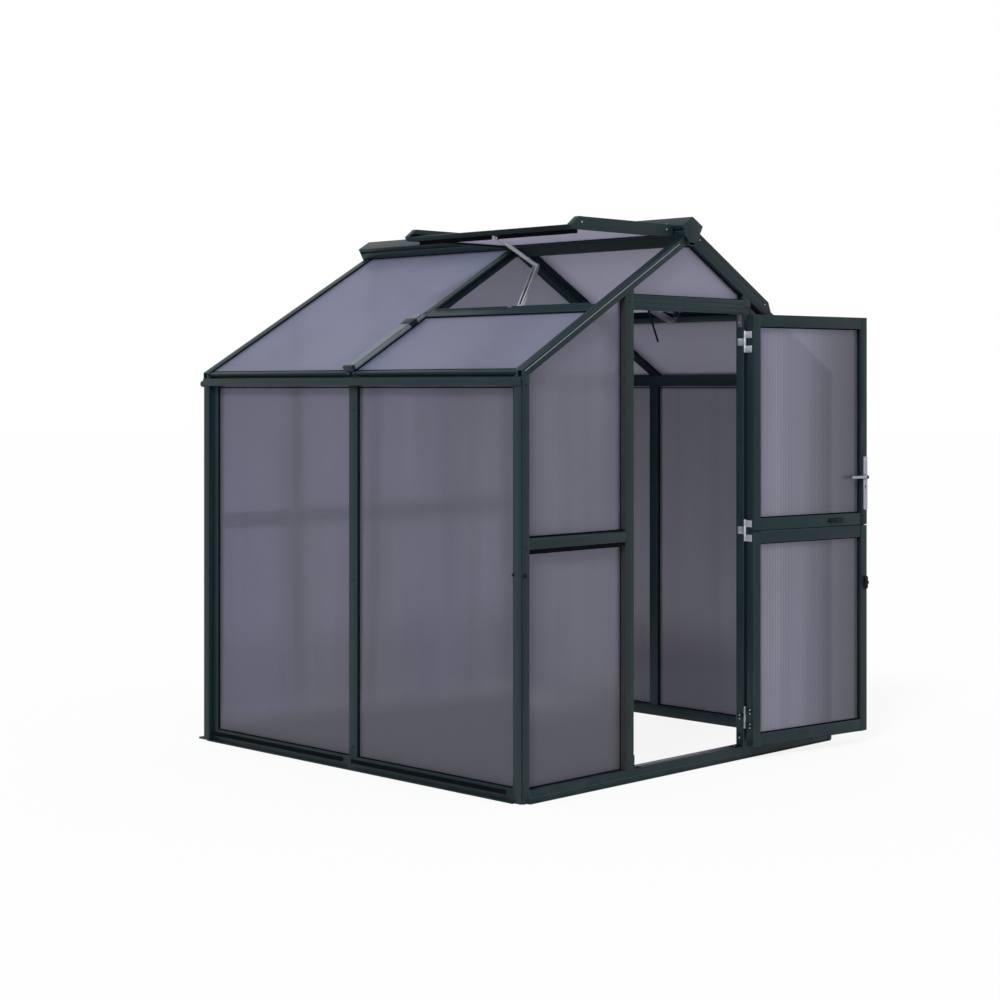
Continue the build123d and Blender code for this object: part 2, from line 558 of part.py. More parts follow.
def front_gable():
    """Door posts, lintel, mid rails and sheets of the front gable."""
    middle = POST_X + DOOR_POST / 2
    section = Pos(middle, 0) * bar_outline(DOOR_POST, BAR, GABLE_SHEET_AT, left=False)
    groove = (GABLE_SHEET_AT - SHEET_GAP, GABLE_SHEET_AT - SHEET_GAP + GROOVE_WIDTH)
    post = up(section, BASE_HEIGHT, CREST_Z) - above_roof(-RAFTER_DEPTH)
    lintel_top = LINTEL_Z + LINTEL
    post -= block((POST_X, POST_X + GROOVE), groove, (lintel_top - GROOVE, CREST_Z))
    add("door_post_right", post)
    bolt = bolt_pocket(POST_X, POST_X + BOLT_REACH)
    add("door_post_left", to_left(post - bolt))
    outline = area((0, BAR), (LINTEL_Z, lintel_top))
    outline -= area(groove, (lintel_top - GROOVE, lintel_top))
    for share in (1 / 3, 2 / 3):
        z = LINTEL_Z + share * LINTEL
        outline -= area((0, LINTEL_FLUTE), (z - LINTEL_FLUTE / 2, z + LINTEL_FLUTE / 2))
    outline -= area((LINTEL_FLUTE + METAL, groove[0] - METAL), (LINTEL_Z + METAL, lintel_top - METAL))
    add("door_lintel", along_x(outline, -POST_X, POST_X))
    bay = (POST_X + DOOR_POST, BAR_X)
    rail = along_x(mid_rail_outline(), *bay)
    add("front_mid_rails", rail, to_left(rail))
    y_sheet = (GABLE_SHEET_AT, GABLE_SHEET_AT + SHEET)
    x_sheet = (bay[0] - SEAT, bay[1] + SEAT)
    lower = block(x_sheet, y_sheet, (BASE_HEIGHT - SEAT, MID_RAIL_Z + SEAT))
    upper = along_y(upper_x(*x_sheet, MID_RAIL_Z + MID_RAIL - SEAT), *y_sheet)
    half = upper_x(0, POST_X + SEAT, lintel_top - SEAT)
    top = along_y(half + mirror(half, about=Plane.YZ), *y_sheet)
    add("front_gable_sheets", top, lower, upper, to_left(lower), to_left(upper))


def rear_gable():
    """Posts, mid rails and sheets of the rear gable."""
    section = bar_outline(BAR, BAR, GABLE_SHEET_AT)
    side = up(Pos(REAR_POST_X, 0) * section, BASE_HEIGHT, CREST_Z) - above_roof(-RAFTER_DEPTH)
    centre = up(section, BASE_HEIGHT, RIDGE_WEB_Z)
    add("rear_gable_posts", to_rear(centre), to_rear(side), to_left(to_rear(side)))
    half_bar = BAR / 2
    y_sheet = (GABLE_SHEET_AT, GABLE_SHEET_AT + SHEET)
    rails = []
    sheets = []
    for x_low, x_high in ((half_bar, REAR_POST_X - half_bar), (REAR_POST_X + half_bar, BAR_X)):
        x_sheet = (x_low - SEAT, x_high + SEAT)
        rails.append(to_rear(along_x(mid_rail_outline(), x_low, x_high)))
        sheets.append(to_rear(block(x_sheet, y_sheet, (BASE_HEIGHT - SEAT, MID_RAIL_Z + SEAT))))
        sheets.append(to_rear(along_y(upper_x(*x_sheet, MID_RAIL_Z + MID_RAIL - SEAT), *y_sheet)))
    add("rear_mid_rails", *rails, *[to_left(rail) for rail in rails])
    add("rear_gable_sheets", *sheets, *[to_left(sheet) for sheet in sheets])


def corner_angles():
    """Angles in the doorway's four corners, on the posts' inner faces."""
    y_range = (ANGLE_FRONT, ANGLE_FRONT + ANGLE_WIDTH)
    angles = []
    for z_corner, way in ((BASE_HEIGHT, 1), (LINTEL_Z, -1)):
        upright_z = sorted((z_corner, z_corner + way * ANGLE_LEG))
        flat_z = sorted((z_corner, z_corner + way * ANGLE_THICK))
        angle = block((POST_X - ANGLE_THICK, POST_X), y_range, upright_z)
        angle += block((POST_X - ANGLE_LEG, POST_X), y_range, flat_z)
        angles += [angle, to_left(angle)]
    add("doorway_corner_angles", *angles)


def swing(leaf_piece):
    """Turn a piece of the closed door to where the open door stands."""
    return leaf_piece.rotate(Axis((PIN_X, PIN_Y, 0), (0, 0, 1)), DOOR_OPEN)


def leaf_frame(z_low, z_high):
    """Two stiles and two rails of a door leaf, closed, as separate bars."""
    section = bar_outline(STILE, LEAF_DEPTH, DOOR_SHEET_AT, left=False)
    free = up(Pos(STILE / 2 - LEAF_X, 0) * section, z_low, z_high)
    hinged = to_left(free)
    groove = (DOOR_SHEET_AT - SHEET_GAP, DOOR_SHEET_AT - SHEET_GAP + GROOVE_WIDTH)
    outline = area((0, LEAF_DEPTH), (0, LEAF_RAIL)) - area(groove, (LEAF_RAIL - GROOVE, LEAF_RAIL))
    for low, high in ((0, groove[0]), (groove[1], LEAF_DEPTH)):
        outline -= area((low + METAL, high - METAL), (METAL, LEAF_RAIL - METAL))
    rail_x = (STILE - LEAF_X, LEAF_X - STILE)
    lower = along_x(outline, *rail_x)
    upper = mirror(lower, about=Plane.XY)
    return free, hinged, Pos(0, 0, z_low) * lower, Pos(0, 0, z_high) * upper


def leaf_sheet(z_low, z_high):
    """The sheet of a door leaf, closed."""
    x_edge = LEAF_X - STILE + SEAT
    inset = LEAF_RAIL - SEAT
    return block((-x_edge, x_edge), (DOOR_SHEET_AT, DOOR_SHEET_AT + SHEET), (z_low + inset, z_high - inset))


def knuckle(z_low, z_high):
    """A hinge knuckle on the door's axis."""
    ring = Circle(KNUCKLE_R) - Circle(HINGE_PIN_R + PIN_PLAY)
    return up(Pos(PIN_X, PIN_Y) * ring, z_low, z_high)


def bored(solid):
    """Clear the pin's way through a hinge piece."""
    return solid - Pos(PIN_X, PIN_Y, 0) * Cylinder(HINGE_PIN_R + PIN_PLAY, 4 * CREST_Z)


def post_hinge(z):
    """Hinge half on the door post: a plate on the post's face and the middle knuckle."""
    reach = KNUCKLE_MID / 2
    plate = block((POST_X - PLATE, POST_X), (PIN_Y, PLATE_DEPTH), (z - reach, z + reach))
    plate += block((PIN_X, POST_X), (PIN_Y - PLATE / 2, PIN_Y + PLATE / 2), (z - reach, z + reach))
    return bored(plate + knuckle(z - reach, z + reach))


def leaf_tab(z_low, z_high):
    """Hinge tab on the leaf's edge with its knuckle, closed."""
    tab = block((LEAF_X, LEAF_X + PLATE), (PIN_Y, PLATE_DEPTH), (z_low, z_high))
    return bored(tab + knuckle(z_low, z_high))


def hinge_levels():
    """Middle heights of the three hinges; the second one straddles the gap between the leaves."""
    return LEAF_BOTTOM + HINGE_INSET, SPLIT_Z, LEAF_TOP - HINGE_INSET


def tab_levels(z):
    """Lower and upper tab of the hinge at z."""
    outer = HINGE_HEIGHT / 2
    inner = KNUCKLE_MID / 2 + KNUCKLE_GAP
    return (z - outer, z - inner), (z + inner, z + outer)


def hinge_pin(z):
    """Hinge pin with a six-sided head on top."""
    half = HINGE_HEIGHT / 2
    pin = up(Pos(PIN_X, PIN_Y) * Circle(HINGE_PIN_R), z - half, z + half + TOUCH)
    head = Pos(PIN_X, PIN_Y) * RegularPolygon(PIN_HEAD_R, 6)
    return pin + up(head, z + half + TOUCH, z + half + TOUCH + PIN_HEAD)


def bolt_pocket(x_low, x_high):
    """Room for the latch bolt between two upright planes on the +X side."""
    z = LEVER_Z + BOLT_RISE
    half_y = BOLT_WIDTH / 2 + TOUCH
    half_z = BOLT_HEIGHT / 2 + TOUCH
    y = LEAF_DEPTH / 2
    return block((x_low, x_high), (y - half_y, y + half_y), (z - half_z, z + half_z))


def cut_corners(width, height, corner):
    """A rectangle with cut corners."""
    return chamfer(Rectangle(width, height).vertices(), corner)


def lock_plate():
    """Lock plate on the outer face of the closed leaf, with the lever's bearing and the keyhole."""
    x = LOCK_FROM_EDGE - LEAF_X
    plate = Pos(0, LOCK_Z) * cut_corners(LOCK_PLATE_WIDTH, LOCK_PLATE, LOCK_PLATE_CORNER)
    plate -= Pos(0, LEVER_Z) * Circle(LEVER_NECK_R + PIN_PLAY)
    key_z = LEVER_Z - KEYHOLE_DROP
    plate -= Pos(0, key_z) * Circle(KEYHOLE_R)
    plate -= area((-KEYHOLE_R / 2, KEYHOLE_R / 2), (key_z - 3 * KEYHOLE_R, key_z))
    return Pos(x, 0, 0) * along_y(plate, -LOCK_PLATE_THICK, 0)


def lever():
    """Lever on the outer face of the closed leaf: a neck, a bend and a grip along the leaf."""
    x = LOCK_FROM_EDGE - LEAF_X
    axis = Plane((x, -TOUCH, LEVER_Z), x_dir=(1, 0, 0), z_dir=(0, -1, 0))
    neck = extrude(axis * Circle(LEVER_NECK_R), LEVER_NECK + LEVER_NECK_R)
    grip_plane = Plane((x, -LEVER_NECK, LEVER_Z), x_dir=(0, 1, 0), z_dir=(1, 0, 0))
    grip = extrude(grip_plane * Circle(LEVER_R), LEVER_LENGTH)
    grip = chamfer(grip.faces().sort_by(Axis.X)[-1].edges(), LEVER_CHAMFER)
    return neck + grip


def to_inside(leaf_piece):
    """The same piece on the inner face of the leaf."""
    return mirror(leaf_piece, about=Plane((0, LEAF_DEPTH / 2, 0), x_dir=(1, 0, 0), z_dir=(0, 1, 0)))


def door():
    """Both door leaves with their sheets, hinges, lock, turn button and turn latch."""
    low_z, split_z, high_z = hinge_levels()
    add("hinge_post_plates", *[post_hinge(z) for z in hinge_levels()])
    add("hinge_pins", *[hinge_pin(z) for z in hinge_levels()])
    split_low, split_high = tab_levels(split_z)
    upper = (SPLIT_Z + SPLIT_GAP / 2, LEAF_TOP)
    lower = (LEAF_BOTTOM, SPLIT_Z - SPLIT_GAP / 2)
    free, hinged, bottom_rail, top_rail = leaf_frame(*upper)
    lock_x = LOCK_FROM_EDGE - LEAF_X
    cross = Plane((lock_x, 0, LEVER_Z), x_dir=(1, 0, 0), z_dir=(0, -1, 0))
    free -= cross * Box(SPINDLE_WAY, SPINDLE_WAY, 4 * LEAF_DEPTH)
    pocket_end = LEAF_X - BOLT_LENGTH + BOLT_REACH - BOLT_TRAVEL - 2 * TOUCH
    free -= to_left(bolt_pocket(pocket_end, LEAF_X))
    add("upper_leaf_frame", *[swing(bar) for bar in (free, hinged, bottom_rail, top_rail)])
    add("upper_leaf_sheet", swing(leaf_sheet(*upper)))
    add("upper_leaf_hinges", *[swing(leaf_tab(*level)) for level in (*tab_levels(high_z), split_high)])
    add("lower_leaf_frame", *[swing(bar) for bar in leaf_frame(*lower)])
    add("lower_leaf_sheet", swing(leaf_sheet(*lower)))
    add("lower_leaf_hinges", *[swing(leaf_tab(*level)) for level in (*tab_levels(low_z), split_low)])
    plate = lock_plate()
    add("lock_plates", swing(plate), swing(to_inside(plate)))
    outer = lever()
    square = cross.offset(-LEAF_DEPTH - TOUCH) * Rectangle(SPINDLE, SPINDLE)
    spindle = extrude(square, LEAF_DEPTH + 2 * TOUCH)
    add("lever_handles", swing(outer + to_inside(outer) + spindle))
    bolt_z = LEVER_Z + BOLT_RISE
    half_y = BOLT_WIDTH / 2
    middle_y = LEAF_DEPTH / 2
    tip = -LEAF_X - BOLT_REACH
    bevel = shape((tip, middle_y - half_y), (tip + BOLT_LENGTH, middle_y - half_y),
                  (tip + BOLT_LENGTH, middle_y + half_y), (tip + BOLT_WIDTH, middle_y + half_y))
    add("latch_bolt", swing(up(bevel, bolt_z - BOLT_HEIGHT / 2, bolt_z + BOLT_HEIGHT / 2)))
    strike_y = (middle_y - STRIKE_WIDTH / 2, middle_y + STRIKE_WIDTH / 2)
    strike_z = (bolt_z - STRIKE_HEIGHT / 2, bolt_z + STRIKE_HEIGHT / 2)
    strike = block((POST_X - STRIKE_THICK, POST_X), strike_y, strike_z)
    add("strike_plate", to_left(strike - bolt_pocket(0, HALF)))
    button_at = (COUPLER_FROM_EDGE - LEAF_X, LEAF_DEPTH + TOUCH, SPLIT_Z + COUPLER_RISE)
    inside = Plane(button_at, x_dir=(1, 0, 0), z_dir=(0, 1, 0))
    button = extrude(inside * cut_corners(COUPLER_LENGTH, COUPLER_WIDTH, COUPLER_CORNER), COUPLER_THICK)
    button += extrude(inside.offset(COUPLER_THICK) * Circle(COUPLER_PIVOT_R), COUPLER_PIVOT)
    add("leaf_coupler", swing(button))
    latch_at = (TURN_LATCH_FROM_EDGE - LEAF_X, LEAF_DEPTH + TOUCH, TURN_LATCH_Z)
    latch_plane = Plane(latch_at, x_dir=(0, 0, 1), z_dir=(0, 1, 0))
    bar = cut_corners(TURN_LATCH_LENGTH, TURN_LATCH_WIDTH, TURN_LATCH_CORNER)
    latch = extrude(latch_plane * bar, TURN_LATCH_THICK)
    latch += extrude(latch_plane.offset(TURN_LATCH_THICK) * Circle(TURN_LATCH_KNOB_R), TURN_LATCH_KNOB)
    add("turn_latch", swing(latch))


def vent_frame():
    """Closed vent frame on the +X slope: two side rails, a free rail and a top rail with its bead."""
    low = VENT_SEAT
    high = VENT_SEAT + VENT_HEIGHT
    groove_n = (VENT_SHEET_AT - SHEET_GAP, VENT_SHEET_AT - SHEET_GAP + GROOVE_WIDTH)
    side_view = shape((VENT_TOP_U, low), (VENT_NOSE_U - VENT_HEEL, low), (VENT_NOSE_U, low + VENT_NOSE_N),
                      (VENT_END_U, high), (VENT_TOP_U, high))
    inner_y = (VENT_FRONT + VENT_SIDE, VENT_REAR - VENT_SIDE)
    front = on_slope(side_view, VENT_FRONT, inner_y[0])
    rear = on_slope(side_view, inner_y[1], VENT_REAR)
    free_u = VENT_NOSE_U - VENT_FREE_RAIL
    top_end = VENT_TOP_U + VENT_TOP_RAIL
    sheet_way = area((top_end - GROOVE, free_u + GROOVE), groove_n)
    front -= on_slope(sheet_way, inner_y[0] - GROOVE, inner_y[0])
    rear -= on_slope(sheet_way, inner_y[1], inner_y[1] + GROOVE)
    hollow = area((VENT_TOP_U, VENT_END_U), (low + METAL, high - METAL))
    front -= on_slope(hollow, VENT_FRONT + METAL, inner_y[0] - GROOVE - METAL)
    rear -= on_slope(hollow, inner_y[1] + GROOVE + METAL, VENT_REAR - METAL)
    heel_u = VENT_NOSE_U - VENT_HEEL
    free_n = groove_n[1] + METAL
    free_view = shape((free_u, low), (heel_u, low), (VENT_NOSE_U, low + VENT_NOSE_N), (free_u, free_n))
    free_view -= area((free_u, free_u + GROOVE), groove_n)
    free = on_slope(free_view, *inner_y)
    top_view = area((VENT_TOP_U, top_end), (low, high)) - area((top_end - GROOVE, top_end), groove_n)
    hollow = area((VENT_TOP_U + METAL, top_end - GROOVE - METAL), (low + METAL, high - METAL))
    neck = area((HINGE_U, VENT_TOP_U), (HINGE_N - NECK / 2, HINGE_N + NECK / 2))
    bead = Pos(HINGE_U, HINGE_N) * Circle(BEAD_R)
    top = on_slope(top_view - hollow + neck + bead, *inner_y)
    return front, rear, free, top


def vent_sheet():
    """Sheet of the closed vent on the +X slope."""
    u_range = (VENT_TOP_U + VENT_TOP_RAIL - SEAT, VENT_NOSE_U - VENT_FREE_RAIL + SEAT)
    outline = area(u_range, (VENT_SHEET_AT, VENT_SHEET_AT + SHEET))
    return on_slope(outline, VENT_FRONT + VENT_SIDE - SEAT, VENT_REAR - VENT_SIDE + SEAT)


def turn(point, centre, angle):
    """Turn a slope point about a centre, counter-clockwise in (u, n), in degrees."""
    du = point[0] - centre[0]
    dn = point[1] - centre[1]
    c = cos(radians(angle))
    s = sin(radians(angle))
    return centre[0] + c * du - s * dn, centre[1] + s * du + c * dn


def heading(start, end):
    """Direction between two slope points, degrees."""
    return degrees(atan2(end[1] - start[1], end[0] - start[0])) % 360


def opener_turns():
    """Turn of the lower arm, and of the upper arm against the vent, when the vent opens fully."""
    hinge = (HINGE_U, HINGE_N)
    root = (OPENER_U, SILL_PIVOT_N)
    tip = (OPENER_U, VENT_PIVOT_N)
    elbow = (OPENER_U - ELBOW_BACK, ELBOW_N)
    lower = hypot(elbow[0] - root[0], elbow[1] - root[1])
    upper = hypot(elbow[0] - tip[0], elbow[1] - tip[1])
    raised = turn(tip, hinge, VENT_OPEN)
    span = hypot(raised[0] - root[0], raised[1] - root[1])
    along = (lower ** 2 - upper ** 2 + span ** 2) / (2 * span)
    aside = sqrt(lower ** 2 - along ** 2)
    du = (raised[0] - root[0]) / span
    dn = (raised[1] - root[1]) / span
    bent = (root[0] + along * du - aside * dn, root[1] + along * dn + aside * du)
    lower_turn = heading(root, bent) - heading(root, elbow)
    upper_turn = heading(raised, bent) - heading(tip, elbow) - VENT_OPEN
    return lower_turn, upper_turn


def arm_end(point, radius):
    """Faceted end of an arm, or of what carries it, about a slope point."""
    return Pos(*point) * RegularPolygon(radius, ARM_SIDES, major_radius=False)


def link(start, end, start_r, end_r):
    """Outline of a tapered bar between two slope points."""
    return make_hull((arm_end(start, start_r) + arm_end(end, end_r)).edges())


def opener(lower_turn, vent_turn, upper_turn):
    """Sill bracket, vent bracket, lower and upper arm, in slope coordinates turned as given."""
    hinge = (HINGE_U, HINGE_N)
    root = (OPENER_U, SILL_PIVOT_N)
    tip = (OPENER_U, VENT_PIVOT_N)
    elbow = (OPENER_U - ELBOW_BACK, ELBOW_N)
    gap = ARM_GAP / 2
    outer = gap + ARM_THICK
    bore = OPENER_PIN_R + PIN_PLAY
    plane_y = OPENER_Y
    tongue = gap - SIDE_PLAY
    sill_face = shape((SILL_U, -RAFTER_DEPTH), (SILL_U, SILL_PIVOT_N + RAFTER_DEPTH), root)
    web = make_hull((sill_face + arm_end(root, ARM_ROOT_R - METAL)).edges())
    bracket = on_slope(web & area((0, SILL_U), (-CREST_Z, 0)), plane_y - tongue, plane_y + tongue)
    bracket += on_slope(Pos(*root) * Circle(OPENER_PIN_R), plane_y - outer - METAL, plane_y + outer + METAL)
    free_u = VENT_NOSE_U - VENT_FREE_RAIL
    arm_half = UPPER_ARM_THICK / 2
    cheek_view = area((OPENER_U - ARM_TIP_R, free_u), (VENT_SEAT, VENT_SHEET_AT - TOUCH))
    cheek_view += area((OPENER_U - ARM_TIP_R, OPENER_U + ARM_TIP_R), (VENT_PIVOT_N, VENT_SEAT))
    cheek_view += arm_end(tip, ARM_TIP_R)
    cheeks = []
    for way in (-1, 1):
        near = plane_y + way * (arm_half + SIDE_PLAY)
        far = near + way * BRACKET_THICK
        cheeks.append(on_slope(cheek_view, min(near, far), max(near, far)))
    holder = cheeks[0] + cheeks[1]
    holder += on_slope(Pos(*tip) * Circle(OPENER_PIN_R), plane_y - HOLDER_HALF, plane_y + HOLDER_HALF)
    bar = link(root, elbow, ARM_ROOT_R, ARM_TIP_R) - Pos(*root) * Circle(bore)
    lower = on_slope(bar, plane_y - outer, plane_y - gap) + on_slope(bar, plane_y + gap, plane_y + outer)
    share = ARM_BRIDGE / hypot(elbow[0] - root[0], elbow[1] - root[1])
    bridge = (root[0] + share * (elbow[0] - root[0]), root[1] + share * (elbow[1] - root[1]))
    lower += on_slope(Pos(*bridge) * Circle(BRIDGE_R), plane_y - outer, plane_y + outer)
    bar = link(tip, elbow, ARM_TIP_R, ARM_TIP_R) - Pos(*tip) * Circle(bore)
    upper = on_slope(bar, plane_y - arm_half, plane_y + arm_half)
    boss = gap - SIDE_PLAY
    upper += on_slope(Pos(*elbow) * Circle(ARM_TIP_R), plane_y - boss, plane_y + boss)
    upper = slope_turn(upper, tip, upper_turn)
    return bracket, slope_turn(holder, hinge, vent_turn), slope_turn(lower, root, lower_turn), slope_turn(
        upper, hinge, vent_turn)


def slope_turn(piece, centre, angle):
    """Turn a piece about an axis along the house through a slope point."""
    u, n = centre
    axis = Axis((u * COS + n * SIN, 0, CREST_Z - u * SIN + n * COS), (0, -1, 0))
    return piece.rotate(axis, angle)


def vents():
    """The closed vent on the +X slope and the open vent on the -X slope, with their openers."""
    hinge = (HINGE_U, HINGE_N)
    lower_turn, upper_turn = opener_turns()
    bracket, holder, lower, upper = opener(0, 0, 0)
    add("vent_frame_right", *vent_frame(), holder)
    add("vent_sheet_right", vent_sheet())
    add("opener_lower_arm_right", lower)
    add("opener_upper_arm_right", upper)
    left_bracket, holder, lower, upper = opener(lower_turn, VENT_OPEN, upper_turn)
    add("opener_sill_brackets", bracket, to_left(left_bracket))
    rails = [slope_turn(rail, hinge, VENT_OPEN) for rail in vent_frame()]
    add("vent_frame_left", *[to_left(piece) for piece in (*rails, holder)])
    add("vent_sheet_left", to_left(slope_turn(vent_sheet(), hinge, VENT_OPEN)))
    add("opener_lower_arm_left", to_left(lower))
    add("opener_upper_arm_left", to_left(upper))


def report_joints():
    """Print the joint axes and couplings that follow from the sizes."""
    lower_turn, upper_turn = opener_turns()
    print("door axis", PIN_X, PIN_Y)
    for name, (u, n) in (("vent hinge", (HINGE_U, HINGE_N)), ("sill pivot", (OPENER_U, SILL_PIVOT_N)),
                         ("vent pivot", (OPENER_U, VENT_PIVOT_N))):
        print(name, round(u * COS + n * SIN, 4), round(CREST_Z - u * SIN + n * COS, 4))
    print("arm ratios", lower_turn / VENT_OPEN, upper_turn / VENT_OPEN)


def main():
    """Build every piece and write one file per node."""
    base_rails()
    corner_posts()
    side_walls()
    ridge()
    rafters()
    roof()
    front_gable()
    rear_gable()
    corner_angles()
    door()
    vents()
    os.makedirs("parts", exist_ok=True)
    for name, solids in nodes.items():
        whole = solids[0] if len(solids) == 1 else Compound(children=solids)
        export_step(whole, f"parts/{name}.step")
    report_joints()


if __name__ == "__main__":
    main()
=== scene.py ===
"""Looks of a small greenhouse: coated bars, ribbed sheets, door furniture, vents and the studio."""
import json
from math import cos, pi, radians, sin, tan

import bmesh
import bpy
from bpy.props import FloatProperty, FloatVectorProperty, PointerProperty
from mathutils import Matrix, Vector

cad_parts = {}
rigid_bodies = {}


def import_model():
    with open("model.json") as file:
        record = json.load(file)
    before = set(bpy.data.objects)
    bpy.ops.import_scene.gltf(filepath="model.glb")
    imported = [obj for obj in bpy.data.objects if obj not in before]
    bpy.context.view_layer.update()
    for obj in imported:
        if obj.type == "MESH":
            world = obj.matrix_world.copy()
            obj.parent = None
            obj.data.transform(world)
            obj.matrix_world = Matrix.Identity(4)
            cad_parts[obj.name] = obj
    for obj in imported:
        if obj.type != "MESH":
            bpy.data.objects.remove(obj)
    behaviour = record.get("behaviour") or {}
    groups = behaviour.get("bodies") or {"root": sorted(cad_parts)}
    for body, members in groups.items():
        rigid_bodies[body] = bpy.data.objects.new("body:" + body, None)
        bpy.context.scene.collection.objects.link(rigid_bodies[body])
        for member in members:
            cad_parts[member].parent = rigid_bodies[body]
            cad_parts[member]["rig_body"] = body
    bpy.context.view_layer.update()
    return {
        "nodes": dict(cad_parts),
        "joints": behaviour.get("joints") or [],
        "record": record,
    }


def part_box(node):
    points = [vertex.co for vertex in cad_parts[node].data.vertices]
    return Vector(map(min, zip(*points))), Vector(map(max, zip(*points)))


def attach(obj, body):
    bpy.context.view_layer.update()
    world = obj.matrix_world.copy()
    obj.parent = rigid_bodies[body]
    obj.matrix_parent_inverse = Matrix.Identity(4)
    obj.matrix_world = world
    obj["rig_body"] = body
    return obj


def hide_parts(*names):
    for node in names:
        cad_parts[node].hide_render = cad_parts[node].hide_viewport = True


bl_info = {
    "name": "Greenhouse looks",
    "version": (1, 0, 0),
    "blender": (4, 5, 0),
    "location": "3D View > Sidebar > Greenhouse",
    "description": "Dresses the frame of a small greenhouse and sets its studio",
    "category": "Object",
}

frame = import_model()
NODES = frame["nodes"]

# Sizes that no box of the frame gives, in metres; u runs down the slope from the crest
PITCH = radians(30)
DOOR_TURN = radians(172)
VENT_TURN = radians(30)
BAR = 0.040  # width of a bar
RAFTER = 0.036  # depth of a gable rafter
WEB_X = 0.020  # half the width of the ridge web
GABLE_SHEET = (0.027, 0.037)  # faces of a gable's sheets, behind the gable's front
ROOF_SHEET = (-0.018, -0.008)  # lower and upper face of the roof sheets, from the rafter tops
ROOF_END = 1.116  # lower end of the roof openings, as u
SILL_ENDS = (0.633, 0.665)  # lower edges of the vent sills under and over the sheet, as u
LEAF_X = 0.343  # half the width of a door leaf
LEAF_DEPTH = 0.040
LEAF_STILE = 0.040
LEAF_RAIL = 0.050
LEAF_SHEET = (0.015, 0.025)  # faces of a leaf's sheet, behind the leaf's front
HINGE_INSET = 0.114  # outer hinges, from the door's foot and top
HINGE_MIDDLE = 0.953  # height of the middle hinge
SCREW_PAIR = (-0.008, 0.008)  # two screws of a hinge, up and down from their middle
LEVER_X, LEVER_Z = -0.328, 1.161  # spindle of the levers on the closed door
LOCK_PLATE = 0.006  # thickness of a lock plate
VENT_FRONT, VENT_REAR = 0.033, 0.979
VENT_RAIL = 0.025
VENT_OPENING = (0.090, 0.6253)  # upper and lower end of a vent's opening, as u
VENT_SHEET = (0.009, 0.019)  # lower and upper face of a closed vent's sheet, from the rafter tops
COVER = (0.672, 1.128)  # ends of the rafter covers, as u
GASKET_DEPTH = 0.0028
ROD_RADIUS = 0.0045
KNOB_Z = 0.849
SHARP = radians(40)  # edges sharper than this are rounded
UP = (0, 0, 1)

# Places that follow from the frame
COS = cos(PITCH)
SIN = sin(PITCH)
HALF_BAR = BAR / 2
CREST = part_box("gable_rafter_front_right")[1].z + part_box("gable_rafter_front_right")[0].x * tan(PITCH)
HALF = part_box("corner_post_front_right")[1].x
INNER = HALF - BAR
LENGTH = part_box("corner_post_rear_right")[1].y
MIDDLE = LENGTH / 2
CORNER_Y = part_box("corner_post_front_right")[1].y
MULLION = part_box("side_mullion_right")
WALL_SPANS = ((CORNER_Y, MULLION[0].y), (MULLION[1].y, LENGTH - CORNER_Y))
REAR_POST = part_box("rear_gable_posts")[1].x - HALF_BAR
REAR_SPANS = ((HALF_BAR, REAR_POST - HALF_BAR), (REAR_POST + HALF_BAR, INNER))
SILL_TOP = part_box("door_post_right")[0].z
POST_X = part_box("door_post_right")[0].x
POST_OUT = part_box("door_post_right")[1].x
LINTEL = (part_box("door_lintel")[0].z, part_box("door_lintel")[1].z)
MID_RAIL = (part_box("front_mid_rails")[0].z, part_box("front_mid_rails")[1].z)
BEAM_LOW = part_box("eave_gutter_right")[0].z
WEB_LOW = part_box("ridge_beam")[0].z
JOINTS = {joint["name"]: joint for joint in frame["joints"]}
PIN = Vector(JOINTS["upper_door_swing"]["pos_m"])
PIVOT = Vector((PIN.x, PIN.y, 0))
DOOR_ROTATION = Matrix.Rotation(DOOR_TURN, 3, "Z")
ACROSS_DOOR = (cos(DOOR_TURN), sin(DOOR_TURN), 0.0)
LEAVES = {"upper_door": [corner.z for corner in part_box("upper_leaf_frame")],
          "lower_door": [corner.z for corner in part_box("lower_leaf_frame")]}
HINGES = (LEAVES["lower_door"][0] + HINGE_INSET, HINGE_MIDDLE, LEAVES["upper_door"][1] - HINGE_INSET)
VENT_HINGE = Vector(JOINTS["right_vent_swing"]["pos_m"])
VENT_ROTATION = Matrix.Rotation(VENT_TURN, 3, "Y")
OPENER_Y = (VENT_FRONT + VENT_REAR) / 2

# Finish of each material slot of the furniture
SLOT_FINISH = {"zinc_steel": "zinc", "satin_metal": "satin", "arm_metal": "arm", "black_plastic": "black"}


def swing(point):
    """A point of the closed door, where the open door stands."""
    return DOOR_ROTATION @ (Vector(point) - PIVOT) + PIVOT


def swing_way(way):
    """A direction on the closed door, turned with the open door."""
    return DOOR_ROTATION @ Vector(way)


def on_slope(u, n, y, side):
    """A point u down the slope on one side and n above the rafter tops."""
    return Vector((side * (u * COS + n * SIN), y, CREST - u * SIN + n * COS))


def slope_way(side):
    """Square to the slope on one side, outwards."""
    return Vector((side * SIN, 0, COS))


def lifted(point, side):
    """A point of a closed vent, where the vent on that side stands at rest."""
    if side > 0:
        return Vector(point)
    hinge = Vector((-VENT_HINGE.x, 0, VENT_HINGE.z))
    return VENT_ROTATION @ (Vector(point) - hinge) + hinge


def lifted_way(way, side):
    """A direction on a closed vent, turned as the vent stands at rest."""
    return Vector(way) if side > 0 else VENT_ROTATION @ Vector(way)


def roof_z(x, n):
    """Height above the ground of the plane n above the rafter tops."""
    return CREST + n / COS - abs(x) * tan(PITCH)


def rectangle(a0, a1, b0, b1):
    """The four corners of a rectangle in two coordinates."""
    return [(a0, b0), (a1, b0), (a1, b1), (a0, b1)]


# Modelling helpers

